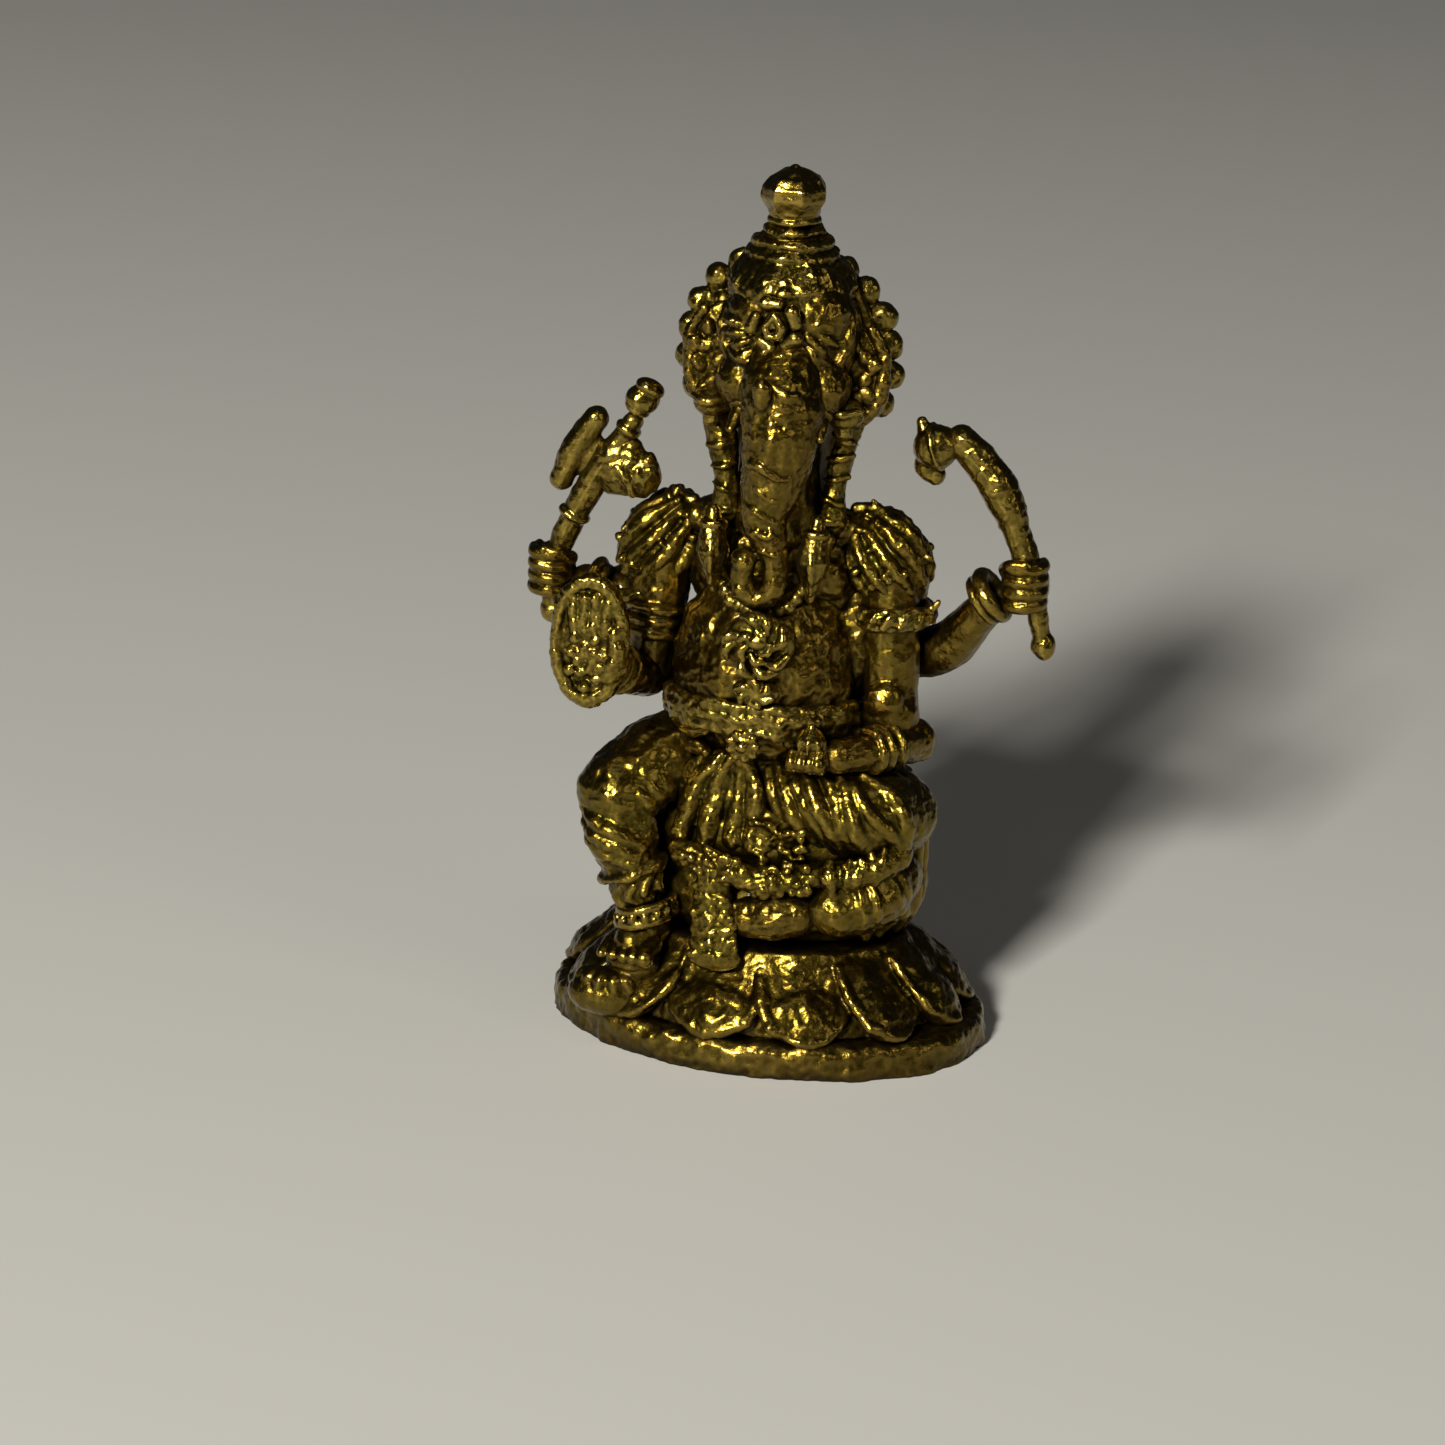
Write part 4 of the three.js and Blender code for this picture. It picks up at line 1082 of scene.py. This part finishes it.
line = shifted(
    near("left_front_upper_arm"), (-0.25, 0.32, 2.62), (-0.05, -0.03, -0.18), (0.17, -0.38, -2.83)
)
parts = roll(line, [1.2, 1.14, 1.12])
parts += pellet(at(line[2], 0, -0.2, 0.1), (1.16, 1.1, 1.15))
parts += pellet(at(line[2], -0.1, -0.8, 0.75), (0.8, 0.55, 0.85))
cast("left_front_upper_arm", parts, body_brass, grain=0.07, lumps=0.24, pits=0.05)

line = shifted(
    near("left_front_forearm"), (1.03, 1.5, 0.07), (0.43, 0.25, 0.17), (-0.27, -0.85, 0.22),
    (-1.27, -1.7, 0.22),
)
parts = roll(line, [0.88, 0.82, 0.76, 0.68])
for share in (0.1, 0.55, 0.95):
    parts += hoop(line[1].lerp(line[2], share), line[2] - line[1], 0.82, 0.19)
cast("left_front_forearm", parts, body_brass, grain=0.06, soften=3, lumps=0.3, pits=0.1)

# ----------------------------------------
# The blessing hand: an open palm with its fingers held together, pressed flat from one pellet, with
# the rim turned up and the skin of the palm stippled.

FINGERS = 4
PALM_STIPPLES = 16

palm = near("right_blessing_hand", 0, 0.02, 0.28)
edge = [(-1.0, 1.75), (-0.3, 2.35), (0.55, 2.2), (1.1, 1.3), (1.25, 0.1), (1.1, -1.2)]
edge += [(0.5, -2.2), (-0.4, -2.4), (-1.15, -1.6), (-1.38, -0.3), (-1.32, 0.9)]
outline = [at(palm, x, -0.12, z) for x, z in edge]
parts = pellet(at(palm, 0, 0.1, 0), (1.35, 0.62, 2.5))
parts += roll(outline, [0.32] * len(outline), closed=True)
for i in range(FINGERS):
    x = -0.7 + i * 0.47
    parts += roll(
        shifted(palm, (x * 0.9, -0.3, 0.5), (x, -0.3, 1.85 - abs(i - 1.6) * 0.15)), [0.26, 0.24]
    )
parts += roll(shifted(palm, (0.8, -0.3, -1.3), (1.1, -0.35, -0.3), (1.05, -0.35, 0.5)), [0.4, 0.36, 0.28])
for i in range(PALM_STIPPLES):
    swing, out = i * 2.4, 0.2 + 0.055 * i
    parts += pellet(at(palm, cos(swing) * out, -0.48, -0.75 + sin(swing) * out * 1.1), (0.24, 0.16, 0.24))
cast("right_blessing_hand", parts, ornament_brass, grain=0.055, soften=8, lumps=0.3, pits=0.16)

# ----------------------------------------
# The left hand on the lap: a palm with its fingers curled up, and the pointed, ribbed sweet that stands
# on it.

SWEET_RIBS = 8

hand = near("left_front_hand")
parts = pellet(at(hand, 0.15, 0.1, -0.1), (0.78, 0.62, 0.5), (0, 0, 15))
for i in range(FINGERS):
    x = -0.6 + i * 0.35
    parts += roll(
        shifted(hand, (x, -0.3, -0.4), (x - 0.02, -0.72, -0.1), (x, -0.55, 0.3)), [0.23, 0.25, 0.2]
    )
parts += roll(shifted(hand, (0.6, 0.1, 0.2), (0.35, -0.25, 0.5)), [0.22, 0.17])
cast("left_front_hand", parts, body_brass, grain=0.05, soften=8, lumps=0.25, pits=0.08)

sweet = near("sweet", 0, -0.1, -0.5)
parts = pellet(sweet, (0.56, 0.54, 0.52))
parts += roll(shifted(sweet, (0, 0, 0.3), (0, 0, 0.6)), [0.26, 0.1])
for i in range(SWEET_RIBS):
    angle = tau * i / SWEET_RIBS
    spoke = Vector((cos(angle), sin(angle), 0))
    parts += roll(
        [
            sweet + spoke * 0.5 + Vector((0, 0, -0.4)), sweet + spoke * 0.52 + Vector((0, 0, 0.05)),
            at(sweet, 0, 0, 0.52),
        ],
        [0.07, 0.09, 0.06],
    )
cast("sweet", parts, ornament_brass, grain=0.045, soften=3, lumps=0.12, pits=0.05)

# ----------------------------------------
# The rear arms come out from behind the shoulders, each with a heavy bangle at the wrist and a fist of
# curled fingers round what it holds.

line = shifted(near("right_rear_arm"), (1.18, 0.22, 0.56), (-0.17, 0.22, -0.79), (-1.52, -0.53, -0.54))
cast("right_rear_arm", roll(line, [1.1, 0.95, 0.78]), body_brass, grain=0.07, lumps=0.16)
wrist = near("right_rear_bangle")
axis = Vector((-1, 0, 0.35))
parts = hoop(wrist, axis, 0.98, 0.28) + hoop(wrist - axis.normalized() * 0.38, axis, 0.92, 0.18)
cast("right_rear_bangle", parts, ornament_brass, grain=0.05, soften=2, lumps=0.05)

line = shifted(near("left_rear_arm"), (-1.3, 0.46, -1.06), (-0.1, 0.01, -0.71), (1.75, -0.84, 1.44))
cast("left_rear_arm", roll(line, [1.05, 1.0, 0.78]), body_brass, grain=0.07, lumps=0.16)
wrist = near("left_rear_bangle", 0.12, 0, 0.35)
axis = Vector((1, 0, 0.75))
parts = hoop(wrist, axis, 0.86, 0.34) + hoop(wrist - axis.normalized() * 0.42, axis, 0.88, 0.2)
cast("left_rear_bangle", parts, ornament_brass, grain=0.05, soften=2, lumps=0.05)

grip = (
    (0.62, 0.3, 0.05), (0.66, -0.35, 0.02), (0.2, -0.74, 0), (-0.45, -0.64, -0.06), (-0.66, -0.15, -0.1)
)
for side, name in SIDES:
    fist = near(name + "_rear_fist")
    parts = pellet(at(fist, 0, 0.1, 0), (0.95, 0.88, 1.12))
    for i in range(FINGERS):
        z = 0.8 - i * 0.5
        finger = [at(fist, side * x, y, z + drop) for x, y, drop in grip]
        parts += roll(finger, [0.22, 0.26, 0.28, 0.26, 0.2])
    parts += roll(
        shifted(fist, (side * -0.75, 0, 0.5), (side * -0.5, -0.65, 0.85), (side * 0.1, -0.8, 1.0)),
        [0.32, 0.28, 0.22],
    )
    cast(name + "_rear_fist", parts, body_brass, grain=0.055, soften=3, lumps=0.18, pits=0.06)

# ----------------------------------------
# The axe: a shaft with a faceted knob, a long rounded blade laid against one side of it, and a blunt
# poll on the other.

line = shifted(
    near("axe_handle"), (-1.46, 0, -4.02), (-1.51, 0, -2.32), (-0.66, 0, 0.08), (0.49, 0, 2.28),
    (1.64, 0, 4.18),
)
parts = roll(line, [0.5, 0.48, 0.55, 0.62, 0.4]) + pellet(line[0], (0.6, 0.55, 0.6))
parts += hoop(line[2], line[3] - line[1], 0.55, 0.16)
parts += hoop(line[4] - Vector((0.2, 0, 0.35)), line[4] - line[3], 0.42, 0.15)
cast("axe_handle", parts, ornament_brass, grain=0.055, soften=4, lumps=0.24)

knob = near("axe_finial")
lean = (line[4] - line[3]).normalized()
parts = pellet(knob - lean * 0.15, (0.7, 0.62, 0.62))
parts += pellet(knob + lean * 0.42, (0.62, 0.52, 0.34), (0, 25, 0))
parts += hoop(knob - lean * 0.55, lean, 0.4, 0.16)
cast("axe_finial", parts, ornament_brass, grain=0.05, soften=3, lumps=0.22)

blade_low, blade_high = near("axe_blade", -0.75, 0, -1.35), near("axe_blade", 0.65, 0, 1.2)
parts = roll(
    [blade_low, blade_low.lerp(blade_high, 0.5) + Vector((-0.1, 0, 0.06)), blade_high], [0.52, 0.6, 0.52]
)
parts += pellet(near("axe_blade", 0.3, 0, -0.25), (0.8, 0.36, 1.0), (0, 28, 0))
cast("axe_blade", parts, ornament_brass, grain=0.055, soften=4, lumps=0.18)

poll = near("axe_poll")
parts = pellet(at(poll, -0.6, 0, 0.15), (1.25, 0.68, 1.3), (0, 28, 0))
parts += pellet(at(poll, 0.3, 0, -0.1), (0.85, 0.62, 1.0))
parts += roll(shifted(poll, (-0.9, -0.35, 0.6), (-0.3, -0.55, 0), (0.1, -0.45, -0.8)), [0.16, 0.22, 0.16])
parts += pellet(at(poll, 0.55, -0.1, 0.45), (0.45, 0.42, 0.45))
cast("axe_poll", parts, ornament_brass, grain=0.055, soften=3, lumps=0.4, pits=0.1)

# ----------------------------------------
# The goad: a curved shaft that thickens upward and is scored across, with a ball, a point and a hook at
# its head.

GOAD_SCORES = 6

line = shifted(
    near("goad_shaft"), (1.95, 0, -4.05), (1.55, 0, -2.25), (0.8, 0, 0.05), (-0.3, 0, 2.35),
    (-1.65, 0, 3.8),
)
girth = [0.42, 0.42, 0.58, 0.78, 0.66]
parts = roll(line, girth) + pellet(at(line[0], 0.03, 0, -0.05), (0.52, 0.5, 0.6))
for i in range(GOAD_SCORES):
    along = 0.36 + i * 0.11
    parts += fold(line, girth, [(along, -70), (along + 0.03, 0), (along + 0.05, 50)], 0.12, 0.88)
cast("goad_shaft", parts, ornament_brass, grain=0.055, soften=4, lumps=0.25, pits=0.07)

ball = near("goad_head", 0.15, -0.05, 0.32)
parts = pellet(ball, (0.92, 0.84, 0.88))
parts += roll(shifted(ball, (-0.4, 0, 0.45), (-0.62, 0, 0.9)), [0.4, 0.24])
parts += roll(
    shifted(ball, (-0.3, 0.2, -0.5), (-0.45, 0.3, -1.0), (-0.05, 0.3, -1.25)), [0.46, 0.46, 0.36]
)
parts += hoop(ball, Vector((1, 0, 0.3)), 0.84, 0.12)
cast("goad_head", parts, ornament_brass, grain=0.05, soften=3, lumps=0.2)

# ----------------------------------------
# The shoulder capes: cloth gathered at the neck and spread over the top of each arm in ribs, with a
# turned-up corner and crumbs of wax as its pattern. The left arm's rope armlet shows below its cape.

CAPE_RIBS = 9
CAPE_STIPPLES = 34
CAPE_TILT = -28
ARMLET_STRANDS = 14


def on_ball(side, away, turn):
    """The way out from a ball's middle, at this angle from the top and this bearing, for either side."""
    return Vector((side * cos(turn) * sin(away), -sin(turn) * sin(away), cos(away)))


for side, name, tall in ((-1, "right", 2.35), (1, "left", 2.2)):
    cape = near(name + "_cape")
    lump = at(cape, 0, 0, -0.1)
    parts = pellet(lump, (1.5, 1.55, tall), (0, CAPE_TILT * side, 0))
    tilt = Matrix.Rotation(radians(CAPE_TILT * side), 3, "Y")
    for i in range(CAPE_RIBS):
        bearing = radians(-100 + 260 * i / (CAPE_RIBS - 1))
        rib = []
        for k, polar in enumerate((14, 42, 70, 98, 124)):
            away, turn = radians(polar), bearing - 0.16 * k
            ray = on_ball(side, away, turn)
            rib.append(lump + tilt @ Vector((ray.x * 1.5, ray.y * 1.55, ray.z * tall)))
        parts += roll(rib, [0.14, 0.2 + 0.06 * (i % 2), 0.24 + 0.08 * (i % 3), 0.28, 0.2])
    for i in range(CAPE_STIPPLES):
        away, turn = radians(chance.uniform(20, 115)), radians(chance.uniform(-110, 160))
        ray = on_ball(side, away, turn)
        spot = lump + tilt @ Vector((ray.x * 1.66, ray.y * 1.7, ray.z * tall * 1.04))
        halves = (chance.uniform(0.12, 0.3), 0.2, chance.uniform(0.12, 0.24))
        parts += pellet(spot, halves, (0, chance.uniform(-60, 60), 0))
    corner = [at(cape, side * x, -0.2, z) for x, z in ((-1.3, 1.95), (-0.5, 2.0), (0.45, 1.45))]
    parts += roll(corner, [0.28, 0.3, 0.2])
    parts += roll(shifted(corner[1], (0, 0, 0), (side * -0.15, -0.1, 0.4)), [0.3, 0.14])
    parts += hoop(at(cape, side * 0.6, -0.1, -1.8), Vector((side * 0.25, 0, 1)), 1.3, 0.26)
    cast(name + "_cape", parts, cloth_brass, grain=0.065, soften=2, lumps=0.25, pits=0.12)

armlet = near("left_armlet")
arm = Vector((0.08, -0.12, -1))
parts = hoop(armlet, arm, 1.3, 0.28)
parts += hoop(at(armlet, 0, 0, 0.32), arm, 1.34, 0.16)
parts += hoop(armlet - Vector((0, 0, 0.34)), arm, 1.3, 0.16)
turn = UP.rotation_difference(arm)
for i in range(ARMLET_STRANDS):
    angle = tau * i / ARMLET_STRANDS
    spots = []
    for swing, high in ((-0.12, -0.26), (0, 0), (0.12, 0.26)):
        away = Vector((cos(angle + swing) * 1.52, sin(angle + swing) * 1.52, high))
        spots.append(armlet + turn @ away)
    parts += roll(spots, [0.13, 0.17, 0.13])
parts += roll(shifted(armlet, (1.3, -0.1, 0.2), (1.75, -0.1, 0.75)), [0.28, 0.12])
cast("left_armlet", parts, ornament_brass, grain=0.05, soften=8, lumps=0.34, pits=0.1)

# ----------------------------------------
# The sizes of the CAD model and of this one, in metres, side by side.

size = {"cad": [list(corner) for corner in cad_box], "visual": [list(corner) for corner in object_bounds()]}
